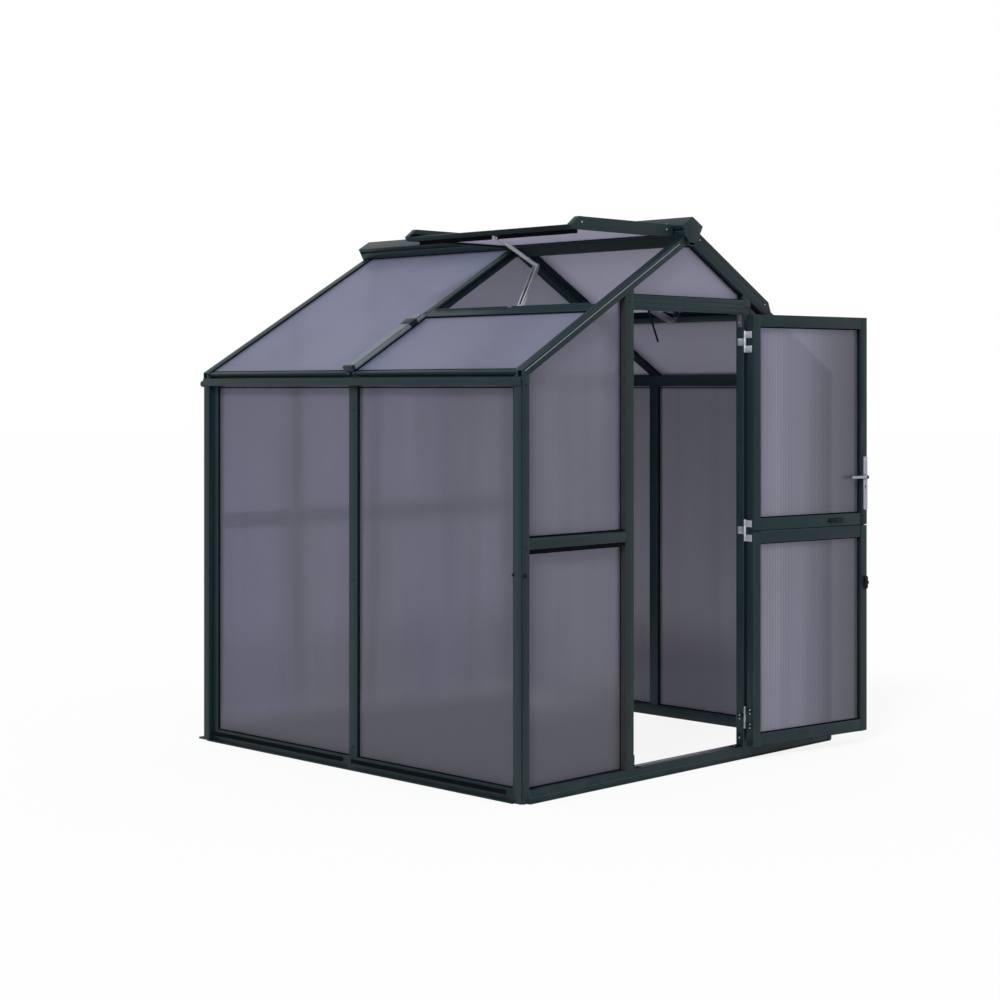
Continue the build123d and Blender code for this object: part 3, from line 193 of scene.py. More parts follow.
def clear_selection():
    """Object mode with nothing selected."""
    if bpy.context.object and bpy.context.object.mode != "OBJECT":
        bpy.ops.object.mode_set(mode="OBJECT")
    bpy.ops.object.select_all(action="DESELECT")


def activate(obj):
    """Make one object the selected and active one."""
    clear_selection()
    obj.select_set(True)
    bpy.context.view_layer.objects.active = obj


def start_edit(obj, kind):
    """Edit mode on one object, with nothing selected, in one selection mode."""
    activate(obj)
    bpy.ops.object.mode_set(mode="EDIT")
    bpy.ops.mesh.select_mode(type=kind)
    bpy.ops.mesh.select_all(action="DESELECT")


def edit_faces(obj, way):
    """Edit mode on one object, with the faces selected that look one way."""
    start_edit(obj, "FACE")
    edit = bmesh.from_edit_mesh(obj.data)
    for face in edit.faces:
        face.select_set(face.normal.dot(Vector(way)) > 0.9)
    edit.select_flush_mode()
    bmesh.update_edit_mesh(obj.data)


def pick_edges(test):
    """Select the edges whose two end points pass a test."""
    mesh = bpy.context.object.data
    edit = bmesh.from_edit_mesh(mesh)
    for edge in edit.edges:
        edge.select_set(bool(test(edge.verts[0].co, edge.verts[1].co)))
    bmesh.update_edit_mesh(mesh)


def extrude(way):
    """Extrude the selection along a vector."""
    bpy.ops.mesh.extrude_region_move(TRANSFORM_OT_translate={"value": way})


def end_edit(obj):
    """Back to object mode."""
    bpy.ops.object.mode_set(mode="OBJECT")
    return obj


def named(obj, name):
    """Name an object and its mesh."""
    obj.name = name
    obj.data.name = name
    return obj


def smooth(obj, angle=35):
    """Smooth shading across shallow edges."""
    activate(obj)
    bpy.ops.object.shade_smooth_by_angle(angle=radians(angle))
    return obj


def rounded(obj, width, **more):
    """Round the sharp edges of an object."""
    activate(obj)
    bevel = obj.modifiers.new("Bevel", "BEVEL")
    settings = dict(width=width, segments=2, limit_method="ANGLE", angle_limit=SHARP, **more)
    for name, value in settings.items():
        setattr(bevel, name, value)
    bpy.ops.object.modifier_apply(modifier=bevel.name)
    return obj


def block(middle, size):
    """A box of one size about a point."""
    bpy.ops.mesh.primitive_cube_add(size=1.0)
    obj = bpy.context.object
    obj.data.transform(Matrix.Translation(middle) @ Matrix.Diagonal((*size, 1)))
    return obj


def laid(obj, side, vent=False):
    """Carry a mesh from (u, y, n) to the slope on one side, or to the vent there."""
    for vertex in obj.data.vertices:
        u, y, n = vertex.co
        point = on_slope(u, n, y, side)
        vertex.co = lifted(point, side) if vent else point
    if side < 0:
        obj.data.flip_normals()
    return obj


def swing_mesh(obj):
    """Carry a mesh of the closed door to where the open door stands."""
    turn = DOOR_ROTATION.to_4x4()
    obj.data.transform(Matrix.Translation(PIVOT) @ turn @ Matrix.Translation(-PIVOT))
    return obj


def stand(way):
    """Turn that carries +Z to a direction."""
    return Vector(way).to_track_quat("Z", "Y").to_matrix().to_4x4()


def copies(model, places, name):
    """Copies of one model at points with directions, joined, the model itself removed."""
    made = []
    for point, way in places:
        copy = model.copy()
        copy.data = model.data.copy()
        copy.data.transform(Matrix.Translation(Vector(point)) @ stand(way))
        bpy.context.scene.collection.objects.link(copy)
        made.append(copy)
    bpy.data.objects.remove(model)
    return joined(made, name)


def joined(objects, name):
    """One object from several."""
    clear_selection()
    for obj in objects:
        obj.select_set(True)
    bpy.context.view_layer.objects.active = objects[0]
    if len(objects) > 1:
        bpy.ops.object.join()
    return named(bpy.context.view_layer.objects.active, name)


def finish_piece(obj, body, finish, slot):
    """Give a piece its material and its body."""
    obj.data.materials.clear()
    obj.data.materials.append(finish)
    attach(obj, body)


def softened(node, width, finish, edge=None):
    """A copy of a CAD piece in its place, its edges rounded and with a finish of their own; the lighter edge
    coat of the bars is a painted highlight.
    """
    source = NODES[node]
    obj = bpy.data.objects.new(node + "_soft", source.data.copy())
    bpy.context.scene.collection.objects.link(obj)
    start_edit(obj, "VERT")
    bpy.ops.mesh.select_all(action="SELECT")
    bpy.ops.mesh.remove_doubles(threshold=0.00002)
    bpy.ops.mesh.dissolve_limited(angle_limit=radians(0.5))
    end_edit(obj)
    obj.data.materials.clear()
    obj.data.materials.append(finish)
    obj.data.materials.append(edge or finish)
    smooth(rounded(obj, width, use_clamp_overlap=True, material=1))
    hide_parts(node)
    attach(obj, source["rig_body"])


# Materials

PAINTED_SKY_REFLECTION = (0.26, 0.34, 0.52)  # painted reflection of the sky, mixed into a roof sheet's colour
PIN_RING = (0.0058, 0.0068)  # just outside a hinge pin
GROUND_SHADE_HEIGHTS = (0.24, 0.34)  # heights between which metal near the ground turns dark with a painted reflection


class Value:
    """A shader socket that Python's operators work on."""

    def __init__(self, graph, socket):
        self.graph = graph
        self.socket = socket

    def _math(self, operation, first, second=None):
        sockets = {0: first} if second is None else {0: first, 1: second}
        return self.graph.node("ShaderNodeMath", {"operation": operation}, sockets)

    def __add__(self, other):
        return self._math("ADD", self, other)

    def __radd__(self, other):
        return self._math("ADD", other, self)

    def __sub__(self, other):
        return self._math("SUBTRACT", self, other)

    def __rsub__(self, other):
        return self._math("SUBTRACT", other, self)

    def __mul__(self, other):
        return self._math("MULTIPLY", self, other)

    def __rmul__(self, other):
        return self._math("MULTIPLY", other, self)

    def __truediv__(self, other):
        return self._math("DIVIDE", self, other)

    def __abs__(self):
        return self._math("ABSOLUTE", self)

    def fraction(self):
        """What is left after the whole number."""
        return self._math("FRACT", self)

    def limited(self, low, high):
        """0 below low, 1 above high, smooth between."""
        settings = {"interpolation_type": "SMOOTHSTEP"}
        sockets = {"Value": self, "From Min": low, "From Max": high}
        return self.graph.node("ShaderNodeMapRange", settings, sockets)


class Graph:
    """The node tree of one material, or of the world."""

    def __init__(self, owner):
        owner.use_nodes = True
        self.owner = owner
        self.tree = owner.node_tree
        self.tree.nodes.clear()

    def node(self, kind, settings=(), sockets=(), output=0):
        """Add a node: its settings first, then the values or links of its sockets."""
        made = self.tree.nodes.new(kind)
        for name, value in dict(settings).items():
            setattr(made, name, value)
        for name, value in dict(sockets).items():
            if isinstance(value, Value):
                self.tree.links.new(value.socket, made.inputs[name])
            else:
                made.inputs[name].default_value = value
        return Value(self, made.outputs[output]) if made.outputs else None

    def place(self):
        """Object coordinates."""
        return self.node("ShaderNodeTexCoord", output=3)

    def along(self, way):
        """Distance along a direction."""
        sockets = {0: self.place(), 1: way}
        return self.node("ShaderNodeVectorMath", {"operation": "DOT_PRODUCT"}, sockets, output=1)

    def noise(self, scale, detail=3.0, roughness=0.5, stretch=(1, 1, 1)):
        """Noise on object coordinates, from 0 to 1."""
        vector = self.node("ShaderNodeMapping", {}, {"Vector": self.place(), "Scale": stretch})
        sockets = {"Vector": vector, "Scale": scale, "Detail": detail, "Roughness": roughness}
        return self.node("ShaderNodeTexNoise", {}, sockets)

    def mix(self, share, first, second):
        """Mix of two colours."""
        sockets = {0: share, 6: first, 7: second}
        return self.node("ShaderNodeMix", {"data_type": "RGBA"}, sockets, output=2)

    def blend(self, share, first, second):
        """Mix of two shaders."""
        return self.node("ShaderNodeMixShader", {}, {0: share, 1: first, 2: second})

    def bump(self, height, strength, distance):
        """Normal from a height."""
        sockets = {"Height": height, "Strength": strength, "Distance": distance}
        return self.node("ShaderNodeBump", {}, sockets)

    def surface(self, **sockets):
        """Principled surface; underscores in socket names stand for spaces."""
        named_sockets = {name.replace("_", " "): value for name, value in sockets.items()}
        return self.node("ShaderNodeBsdfPrincipled", {}, named_sockets)

    def done(self, shader, output="ShaderNodeOutputMaterial"):
        """Send a shader to the output."""
        self.node(output, {}, {"Surface": shader})
        return self.owner

    def ray(self, kind):
        """1 for rays of one kind."""
        return self.node("ShaderNodeLightPath", output=f"Is {kind} Ray")

    def seen(self):
        """1 for rays that show things: camera, glossy and transmission rays."""
        return (self.ray("Camera") + self.ray("Glossy") + self.ray("Transmission")).limited(0.0, 1.0)


def new_graph(name):
    """The graph of a new material."""
    return Graph(bpy.data.materials.new(name))


def rgba(color, gain=1.0):
    """A colour with full alpha."""
    return tuple(min(1.0, channel * gain) for channel in color[:3]) + (1.0,)


def coat_finish(name, color, rough):
    """Powder coat: fine orange peel, slight cloudiness, streaks, dust low down."""
    graph = new_graph(name)
    cloud = graph.noise(3.0, 4.0)
    peel = graph.noise(700.0, 2.0)
    streak = graph.noise(60.0, 3.0, 0.5, (1, 1, 0.04)).limited(0.45, 0.8)
    dust = (1 - graph.along(UP).limited(0.0, 0.35)) * graph.noise(14.0, 5.0).limited(0.42, 0.75)
    tone = graph.mix(cloud * 0.7 + streak * 0.3, rgba(color, 0.75), rgba(color, 1.3))
    tone = graph.mix(dust * 0.1, tone, (0.13, 0.13, 0.12, 1))
    roughness = rough + cloud * 0.12 + dust * 0.15
    return graph.done(graph.surface(Base_Color=tone, Roughness=roughness, Specular_IOR_Level=0.18,
                                    Normal=graph.bump(peel, 0.1, 0.0004)))


def sheet_finish(name, across, sizes, gain, glow, clear=1.0, ribs=0.65, foot_shade=0.0, painted_gradient=None, sky=0.0,
                 band=(0.0, 0.24, 0.54)):
    """Hazy twin-wall sheet with ribs across one direction, that scatters light and lets some through.

    band: lean along y of the top edge of the painted shade at the foot, and the heights between which it
    fades.
    painted_gradient: a direction, two distances along it, and the tone that the sheet takes on between them;
    a tone above 1 is painted light, below 1 painted shade.
    """
    graph = new_graph(name)
    # sky: share of the painted sky reflection in the sheet's colour
    color = Vector(sizes.sheet).lerp(Vector(PAINTED_SKY_REFLECTION), sky)
    cell = (graph.along(across) / sizes.rib_pitch).fraction()
    rib = 1 - abs(cell - 0.5).limited(0.08, 0.26)
    haze = graph.noise(2.2, 3.0)
    lean, low, high = band
    # painted shade: the sheet darker towards its foot, with a leaning top edge
    foot = (1 - graph.along((0, lean, 1)).limited(low, high)) * foot_shade
    streak = graph.noise(14.0, 2.0, 0.5, (1, 1, 0.03)).limited(0.3, 0.7)
    shade = rib * (0.65 * ribs) + streak * (0.35 * ribs) + haze * (1 - ribs)
    tone = graph.mix(shade, rgba(color, 0.66 * gain), rgba(color, 1.36 * gain))
    bloom = graph.noise(1.4, 2.0, 0.5, (1, 1, 0.4)).limited(0.42, 0.62)
    tone = graph.mix(bloom * 0.35, tone, rgba(color * Vector((0.92, 0.95, 1.2)), gain))
    tone = graph.mix(foot, tone, rgba(color, 0.42 * gain))
    # a painted gradient of light and shade along a direction
    if painted_gradient:
        way, low, high, share = painted_gradient
        tone = graph.mix(graph.along(way).limited(low, high), tone, rgba(color, share * gain))
    face = graph.surface(Base_Color=tone, Roughness=0.26 + haze * 0.1, IOR=1.3,
                         Specular_Tint=(0.82, 0.88, 1.0, 1), Normal=graph.bump(rib, 0.4 * ribs, 0.001))
    passed = graph.node("ShaderNodeBsdfTranslucent", {}, {"Color": rgba(sizes.sheet, 1.5)})
    blurred = {"Color": (0.9, 0.9, 0.96, 1), "IOR": 1.04, "Roughness": 0.5}
    through = graph.node("ShaderNodeBsdfRefraction", {}, blurred)
    window = graph.node("ShaderNodeBsdfTransparent", {}, {"Color": (0.93, 0.93, 0.97, 1)})
    # less glow and clearness where the painted foot shade lies
    unshaded = 1 - foot * 0.95
    shader = graph.blend(unshaded * (0.85 + rib * 0.3) * glow, face, passed)
    shader = graph.blend(unshaded * (sizes.clearness * clear), shader, through)
    return graph.done(graph.blend(graph.ray("Shadow") * (0.62 + rib * 0.2), shader, window))


def metal_finish(name, color, rough, grain, low=None):
    """Bare metal with fine rolling marks; near the ground a painted dark reflection, less of it on the hinge
    pin.
    """
    graph = new_graph(name)
    marks = graph.noise(900.0, 2.0, 0.6, grain)
    stain = graph.noise(40.0, 4.0)
    tone = graph.mix(stain, rgba(color, 0.85), rgba(color, 1.1))
    if low:
        off_x = graph.along((1, 0, 0)) - PIN.x
        off_y = graph.along((0, 1, 0)) - PIN.y
        plate = (off_x * off_x + off_y * off_y).limited(PIN_RING[0] ** 2, PIN_RING[1] ** 2)
        # painted dark reflection near the ground
        ground = 1 - graph.along(UP).limited(*GROUND_SHADE_HEIGHTS)
        tone = graph.mix(ground * (0.5 + plate * 0.5), tone, rgba(low))
    roughness = rough + stain * 0.12 + marks * 0.08
    return graph.done(graph.surface(Base_Color=tone, Metallic=1.0, Roughness=roughness,
                                    Normal=graph.bump(marks, 0.1, 0.0002)))


def plastic_finish(name, color, rough, scale, shine=0.06):
    """Moulded plastic or rubber with a fine grain."""
    graph = new_graph(name)
    grain = graph.noise(scale, 3.0, 0.6)
    wear = graph.noise(25.0, 4.0)
    tone = graph.mix(wear, rgba(color, 0.8), rgba(color, 1.4))
    return graph.done(graph.surface(Base_Color=tone, Roughness=rough + wear * 0.15, Specular_IOR_Level=shine,
                                    Normal=graph.bump(grain, 0.2, 0.0003)))


FINISHES = {}


class GreenhouseSizes(bpy.types.PropertyGroup):
    """Sizes and colours of the greenhouse's looks."""

    coat: FloatVectorProperty(name="Coat", description="Colour of the coated bars", subtype="COLOR",
                              default=(0.0095, 0.0228, 0.0260), min=0, max=1)
    sheet: FloatVectorProperty(name="Sheet", description="Colour of the ribbed sheets", subtype="COLOR",
                               default=(0.33, 0.325, 0.385), min=0, max=1)
    glow: FloatProperty(name="Glow", description="Share of light that a sheet scatters to its other side",
                        default=0.45, min=0, max=1, subtype="FACTOR")
    clearness: FloatProperty(name="Clearness", description="Share of light that goes straight through",
                             default=0.2, min=0, max=1, subtype="FACTOR")
    rib_pitch: FloatProperty(name="Rib pitch", description="Distance between a sheet's ribs",
                             default=0.016, min=0.004, max=0.03, unit="LENGTH")
    gasket: FloatProperty(name="Gasket", description="Width of the glazing gaskets",
                          default=0.005, min=0.001, max=0.02, unit="LENGTH")
    edge: FloatProperty(name="Edge", description="Rounding of the bars' edges",
                        default=0.0012, min=0.0002, max=0.004, unit="LENGTH")
    screw: FloatProperty(name="Screw", description="Radius of a screw head",
                         default=0.0042, min=0.001, max=0.01, unit="LENGTH")
    sun: FloatProperty(name="Key light", description="Strength of the key light",
                       default=1.6, min=0, max=10)
    sky: FloatProperty(name="Fill light", description="Strength of the light all round",
                       default=0.65, min=0, max=4)


class GREENHOUSE_OT_finishes(bpy.types.Operator):
    """Make the materials and give them to the pieces of the frame"""
    bl_idname = "greenhouse.finishes"
    bl_label = "Finishes"

    def execute(self, context):
        sizes = context.scene.greenhouse
        FINISHES["coat"] = coat_finish("green_coat", sizes.coat, 0.42)
        # lighter coat for the rounded edges of the bars and for the sill bead: a painted highlight
        FINISHES["edge"] = coat_finish("green_coat_painted_highlight", [2.5 * channel for channel in sizes.coat], 0.3)
        # pale coat for the strips along the left gable rafters: a painted highlight
        FINISHES["arris"] = coat_finish("worn_arris", [0.32 + 2 * channel for channel in sizes.coat], 0.3)
        FINISHES["seal"] = plastic_finish("post_seal", (0.034, 0.032, 0.034), 0.6, 400.0)
        glow = sizes.glow
        # The sheets are one material; each place gets its own gain, as lit and shaded copies of it: painted
        # light and shade.
        x_way, y_way = (1, 0, 0), (0, 1, 0)
        # front gable: painted shade towards the foot, painted light towards the top
        front = sheet_finish("front_sheet", x_way, sizes, 0.72, 0.4 * glow, clear=2.6, foot_shade=1.0,
                             painted_gradient=(UP, 1.72, 1.95, 1.45))
        # rear gable and side walls: painted shade towards the foot, its top edge leaning on the left wall
        rear = sheet_finish("rear_sheet", x_way, sizes, 0.7, 0.4 * glow, foot_shade=1.0)
        left_wall = sheet_finish("left_wall_sheet", y_way, sizes, 0.55, 0.2 * glow, clear=3.0, foot_shade=1.0,
                                 band=(0.19, 0.38, 0.52))
        right_wall = sheet_finish("right_wall_sheet", y_way, sizes, 0.45, 0.2 * glow, foot_shade=0.4)
        # left roof: a painted sky reflection in its colour
        left_roof = sheet_finish("left_roof_sheet", y_way, sizes, 0.92, 0.8 * glow, clear=2.4, ribs=0.3,
                                 sky=0.3)
        right_roof = sheet_finish("right_roof_sheet", y_way, sizes, 0.78, 0.65 * glow, ribs=0.3)
        vent = sheet_finish("vent_sheet", y_way, sizes, 0.9, 1.25 * glow, ribs=0.3)
        hinge_side = Vector(ACROSS_DOOR).dot(swing((LEAF_X, 0, 0)))
        # door leaf: painted shade towards its lock side
        leaf = sheet_finish("leaf_sheet", ACROSS_DOOR, sizes, 0.8, 0.22 * glow,
                            painted_gradient=(ACROSS_DOOR, hinge_side - 0.15, hinge_side - 0.65, 0.3))
        FINISHES.update(front_gable_sheets=front, rear_gable_sheets=rear, wall_sheets_left=left_wall,
                        wall_sheets_right=right_wall, upper_leaf_sheet=leaf, lower_leaf_sheet=leaf,
                        roof_sheets_left=left_roof, roof_sheets_right=right_roof,
                        vent_sheet_left=vent, vent_sheet_right=vent)
        FINISHES["zinc"] = metal_finish("zinc_steel", (0.55, 0.56, 0.58), 0.3, (1, 1, 0.1))
        # dark colour painted near the ground on the hinges and corner angles as a reflection
        dark = (0.022, 0.040, 0.044)
        FINISHES["hinge"] = metal_finish("hinge_steel", (0.72, 0.74, 0.78), 0.32, (1, 1, 0.1), low=dark)
        FINISHES["satin"] = metal_finish("satin_metal", (0.33, 0.34, 0.38), 0.26, (0.1, 1, 1))
        # corner angles: darker metal as painted shade
        FINISHES["shaded_zinc"] = metal_finish("painted_shade_zinc", (0.20, 0.21, 0.21), 0.4, (1, 1, 0.1), low=dark)
        FINISHES["cover"] = coat_finish("pale_cover", (0.165, 0.190, 0.205), 0.45)
        FINISHES["arm"] = metal_finish("arm_metal", (0.6, 0.61, 0.63), 0.32, (1, 1, 0.15))
        FINISHES["black"] = plastic_finish("black_plastic", (0.006, 0.006, 0.007), 0.42, 1200.0, 0.12)
        FINISHES["rubber"] = plastic_finish("gasket_rubber", (0.005, 0.006, 0.007), 0.6, 500.0, 0.0)
        slots = {row["node"]: row["material_slot"] for row in frame["record"]["subparts"]}
        by_slot = {"green_frame": "coat", **SLOT_FINISH}
        for name, obj in NODES.items():
            obj.data.materials.clear()
            obj.data.materials.append(FINISHES[by_slot.get(slots[name], name)])
        return {"FINISHED"}


def gasket_ring(corners, way, width, thick):
    """A flat strip along the inside of a polygon's edge, raised along a direction."""
    bpy.ops.mesh.primitive_circle_add(vertices=len(corners), radius=1.0, fill_type="NGON")
    ring = bpy.context.object
    for vertex, corner in zip(ring.data.vertices, corners):
        vertex.co = corner
    start_edit(ring, "FACE")
    bpy.ops.mesh.select_all(action="SELECT")
    bpy.ops.mesh.inset(thickness=width, use_even_offset=True)
    bpy.ops.mesh.delete(type="FACE")
    bpy.ops.mesh.select_all(action="SELECT")
    extrude(Vector(way) * thick)
    bpy.ops.mesh.select_all(action="SELECT")
    bpy.ops.mesh.normals_make_consistent(inside=False)
    return end_edit(ring)


def wall_bays():
    """Openings of the side walls: corners and outward direction."""
    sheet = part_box("wall_sheets_right")
    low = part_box("base_rail_right")[1].z
    for side in (-1, 1):
        for y0, y1 in WALL_SPANS:
            outline = rectangle(y0, y1, low, BEAM_LOW)
            for x, way in ((sheet[1].x, side), (sheet[0].x, -side)):
                yield [(side * x, y, z) for y, z in outline], (way, 0, 0)


def gable_stack(x0, x1):
    """Corners of a gable's openings below and above the mid rail, in (x, z); the upper follows the rafter."""
    top = [(x, min(roof_z(x, -RAFTER), WEB_LOW)) for x in (x1, x0)]
    return [rectangle(x0, x1, SILL_TOP, MID_RAIL[0]), [(x0, MID_RAIL[1]), (x1, MID_RAIL[1])] + top]


def gable_bays():
    """Openings of both gables: corners and outward direction."""
    front = gable_stack(POST_OUT, INNER)
    rear = [bay for span in REAR_SPANS for bay in gable_stack(*span)]
    flat = (roof_z(0, -RAFTER) - WEB_LOW) / tan(PITCH)
    shoulder = roof_z(POST_X, -RAFTER)
    top = [(-POST_X, LINTEL[1]), (POST_X, LINTEL[1]), (POST_X, shoulder), (flat, WEB_LOW),
           (-flat, WEB_LOW), (-POST_X, shoulder)]
    outer, inner = GABLE_SHEET
    faces = [(outer, -1, [top] + front), (inner, 1, [top] + front),
             (LENGTH - outer, 1, rear), (LENGTH - inner, -1, rear)]
    for y, way, outlines in faces:
        for outline in outlines:
            for side in (1,) if outline is top else (1, -1):
                yield [(side * x, y, z) for x, z in outline], (0, way, 0)


def roof_bays():
    """Openings of the roof over the fixed sheets: corners and outward direction."""
    for side in (-1, 1):
        for n, sill_end, way in ((ROOF_SHEET[1], SILL_ENDS[1], 1), (ROOF_SHEET[0], SILL_ENDS[0], -1)):
            top = (WEB_X - n * SIN) / COS
            for start, y0, y1 in ((sill_end, BAR, MIDDLE - HALF_BAR), (top, MIDDLE + HALF_BAR, LENGTH - BAR)):
                outline = rectangle(start, ROOF_END, y0, y1)
                yield [on_slope(u, n, y, side) for u, y in outline], slope_way(side) * way


def leaf_bays(low, high):
    """Opening of a door leaf on both its faces."""
    reach = LEAF_X - LEAF_STILE
    outline = rectangle(-reach, reach, low + LEAF_RAIL, high - LEAF_RAIL)
    for y, way in zip(LEAF_SHEET, (-1, 1)):
        yield [swing((x, y, z)) for x, z in outline], swing_way((0, way, 0))


def vent_bays(side):
    """Opening of a vent on both its faces."""
    outline = rectangle(*VENT_OPENING, VENT_FRONT + VENT_RAIL, VENT_REAR - VENT_RAIL)
    for n, way in ((VENT_SHEET[1], 1), (VENT_SHEET[0], -1)):
        corners = [lifted(on_slope(u, n, y, side), side) for u, y in outline]
        yield corners, lifted_way(slope_way(side) * way, side)


class GREENHOUSE_OT_gaskets(bpy.types.Operator):
    """Lay the rubber gaskets round every sheet"""
    bl_idname = "greenhouse.gaskets"
    bl_label = "Gaskets"

    def execute(self, context):
        width = context.scene.greenhouse.gasket
        groups = {
            "house": (list(wall_bays()) + list(gable_bays()) + list(roof_bays()), "house_gaskets"),
            "left_vent": (list(vent_bays(-1)), "left_vent_gaskets"),
            "right_vent": (list(vent_bays(1)), "right_vent_gaskets"),
        }
        for body, (low, high) in LEAVES.items():
            groups[body] = (list(leaf_bays(low, high)), body + "_gaskets")
        for body, (bays, name) in groups.items():
            rings = [gasket_ring(corners, way, width, GASKET_DEPTH) for corners, way in bays]
            finish_piece(joined(rings, name), body, FINISHES["rubber"], "black_plastic")
        return {"FINISHED"}


def seal_strip(x, y, z, way):
    """A straight strip between two values of each coordinate, grooved on the face that looks one way."""
    low = Vector((min(x), min(y), min(z)))
    high = Vector((max(x), max(y), max(z)))
    strip = block((high + low) / 2, high - low)
    edit_faces(strip, way)
    bpy.ops.mesh.inset(thickness=0.0012, depth=-0.0005)
    return rounded(end_edit(strip), 0.0003)


def rail_seals():
    """Black strips above and below the mid rails of both gables."""
    play = 0.0003
    sections = ((0.003, 0.0118, MID_RAIL[0], 0.0147), (0.012, 0.0235, MID_RAIL[1], 0.0065))
    strips = []
    for y, way, (x0, x1) in [(0.0, 1, (POST_OUT, INNER))] + [(LENGTH, -1, span) for span in REAR_SPANS]:
        for side in (-1, 1):
            ends = (side * (x0 + play), side * (x1 - play))
            for near, far, z, height in sections:
                depth = (y + way * near, y + way * far)
                strips.append(seal_strip(ends, depth, (z, z + height), (0, -way, 0)))
    return strips


def post_seals():
    """Grey strips on the outer sides of the door posts."""
    strips = []
    top = roof_z(POST_OUT, -RAFTER) - 0.014
    for side in (-1, 1):
        for z in ((SILL_TOP + 0.004, MID_RAIL[0] - 0.001), (MID_RAIL[1] + 0.007, top)):
            outer = side * POST_OUT
            strips.append(seal_strip((outer, outer + side * 0.0016), (0.0008, 0.0238), z, (side, 0, 0)))
            strips.append(seal_strip((outer - side * 0.008, outer), (-0.0008, 0.0), z, (0, -1, 0)))
    return strips


def base_seals():
    """Dark strips along the top of the base rails, under the wall sheets."""
    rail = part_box("base_rail_right")[1]
    height = (rail.z - 0.018, rail.z)
    return [seal_strip((side * rail.x, side * (rail.x + 0.0008)), y, height, (side, 0, 0))
            for side in (-1, 1) for y in WALL_SPANS]


def threshold_strips():
    """Metal threshold on the door sill: a flat between the corner angles and an upstand behind them."""
    flat = POST_X - 0.0575
    reach = POST_X - 0.0020
    return [seal_strip((-flat, flat), (0.0095, 0.0350), (SILL_TOP, SILL_TOP + 0.0012), UP),
            seal_strip((-reach, reach), (0.0355, 0.0395), (SILL_TOP, SILL_TOP + 0.0055), (0, -1, 0))]


def shaded_corner_stop():
    """Dark L-shaped piece at the foot of the lock-side door post, in the gap round the closed leaf: painted
    shade that stands for the shaded corner angle there.
    """
    corner = -POST_X
    depth = (0.0002, 0.0088)
    foot = SILL_TOP + 0.0060
    return [seal_strip((corner, corner + 0.0052), depth, (foot, SILL_TOP + 0.055), (1, 0, 0)),
            seal_strip((corner, corner + 0.042), depth, (SILL_TOP, foot), UP)]


def sill_bead():
    """Thin raised line along the face of the front base rail, in the lighter edge coat: a painted highlight.
    """
    reach = HALF - 0.046
    return seal_strip((-reach, reach), (-0.0010, 0.0), (0.0175, 0.0205), (0, -1, 0))


def leaf_seal():
    """Rubber strip under the upper door leaf that closes the gap to the lower leaf."""
    gap = (LEAVES["lower_door"][1] + 0.0008, LEAVES["upper_door"][0])
    reach = LEAF_X - 0.001
    return swing_mesh(seal_strip((-reach, reach), (0.012, 0.028), gap, (0, -1, 0)))


def vent_flaps(side):
    """Rubber flaps under a vent, up-slope of its sill and clear of the opener."""
    spans = ((VENT_FRONT + 0.027, OPENER_Y - 0.022), (OPENER_Y + 0.022, VENT_REAR - 0.027))
    strips = [seal_strip((0.6005, 0.6055), y, (-0.0135, VENT_SHEET[0]), (1, 0, 0)) for y in spans]
    return [laid(strip, side, vent=True) for strip in strips]


class GREENHOUSE_OT_seals(bpy.types.Operator):
    """Lay the strips of rails, door posts and door sill, and the flaps under the vents"""
    bl_idname = "greenhouse.seals"
    bl_label = "Seal strips"

    def execute(self, context):
        rubber = (FINISHES["rubber"], "black_plastic")
        finish_piece(joined(base_seals(), "base_seals"), "house", *rubber)
        finish_piece(joined(rail_seals(), "rail_seals"), "house", *rubber)
        finish_piece(joined(post_seals(), "post_seals"), "house", FINISHES["seal"], "black_plastic")
        finish_piece(named(leaf_seal(), "leaf_seal"), "upper_door", *rubber)
        finish_piece(joined(threshold_strips(), "threshold"), "house", FINISHES["satin"], "satin_metal")
        # painted shade at the foot of the lock-side door post
        finish_piece(joined(shaded_corner_stop(), "shaded_corner_stop"), "house", FINISHES["black"], "black_plastic")
        finish_piece(named(sill_bead(), "sill_bead"), "house", FINISHES["edge"], "green_frame")
        for body, side in (("left_vent", -1), ("right_vent", 1)):
            finish_piece(joined(vent_flaps(side), body + "_flaps"), body, *rubber)
        return {"FINISHED"}


def screw_model(radius):
    """A pan head screw with a recess, standing on the origin."""
    height = radius * 0.6
    bpy.ops.mesh.primitive_cylinder_add(vertices=14, radius=radius, depth=height,
                                        location=(0, 0, height / 2))
    head = bpy.context.object
    bpy.ops.object.transform_apply(location=True)
    edit_faces(head, UP)
    bpy.ops.mesh.inset(thickness=radius * 0.55)
    bpy.ops.mesh.inset(thickness=radius * 0.05, depth=-height * 0.5)
    bpy.ops.mesh.select_mode(type="EDGE")
    rim = radius * 0.97
    pick_edges(lambda a, b: min(a.z, b.z) > height * 0.9 and a.xy.length > rim and b.xy.length > rim)
    bpy.ops.mesh.bevel(offset=height * 0.55, segments=3)
    return smooth(end_edit(head), 40)


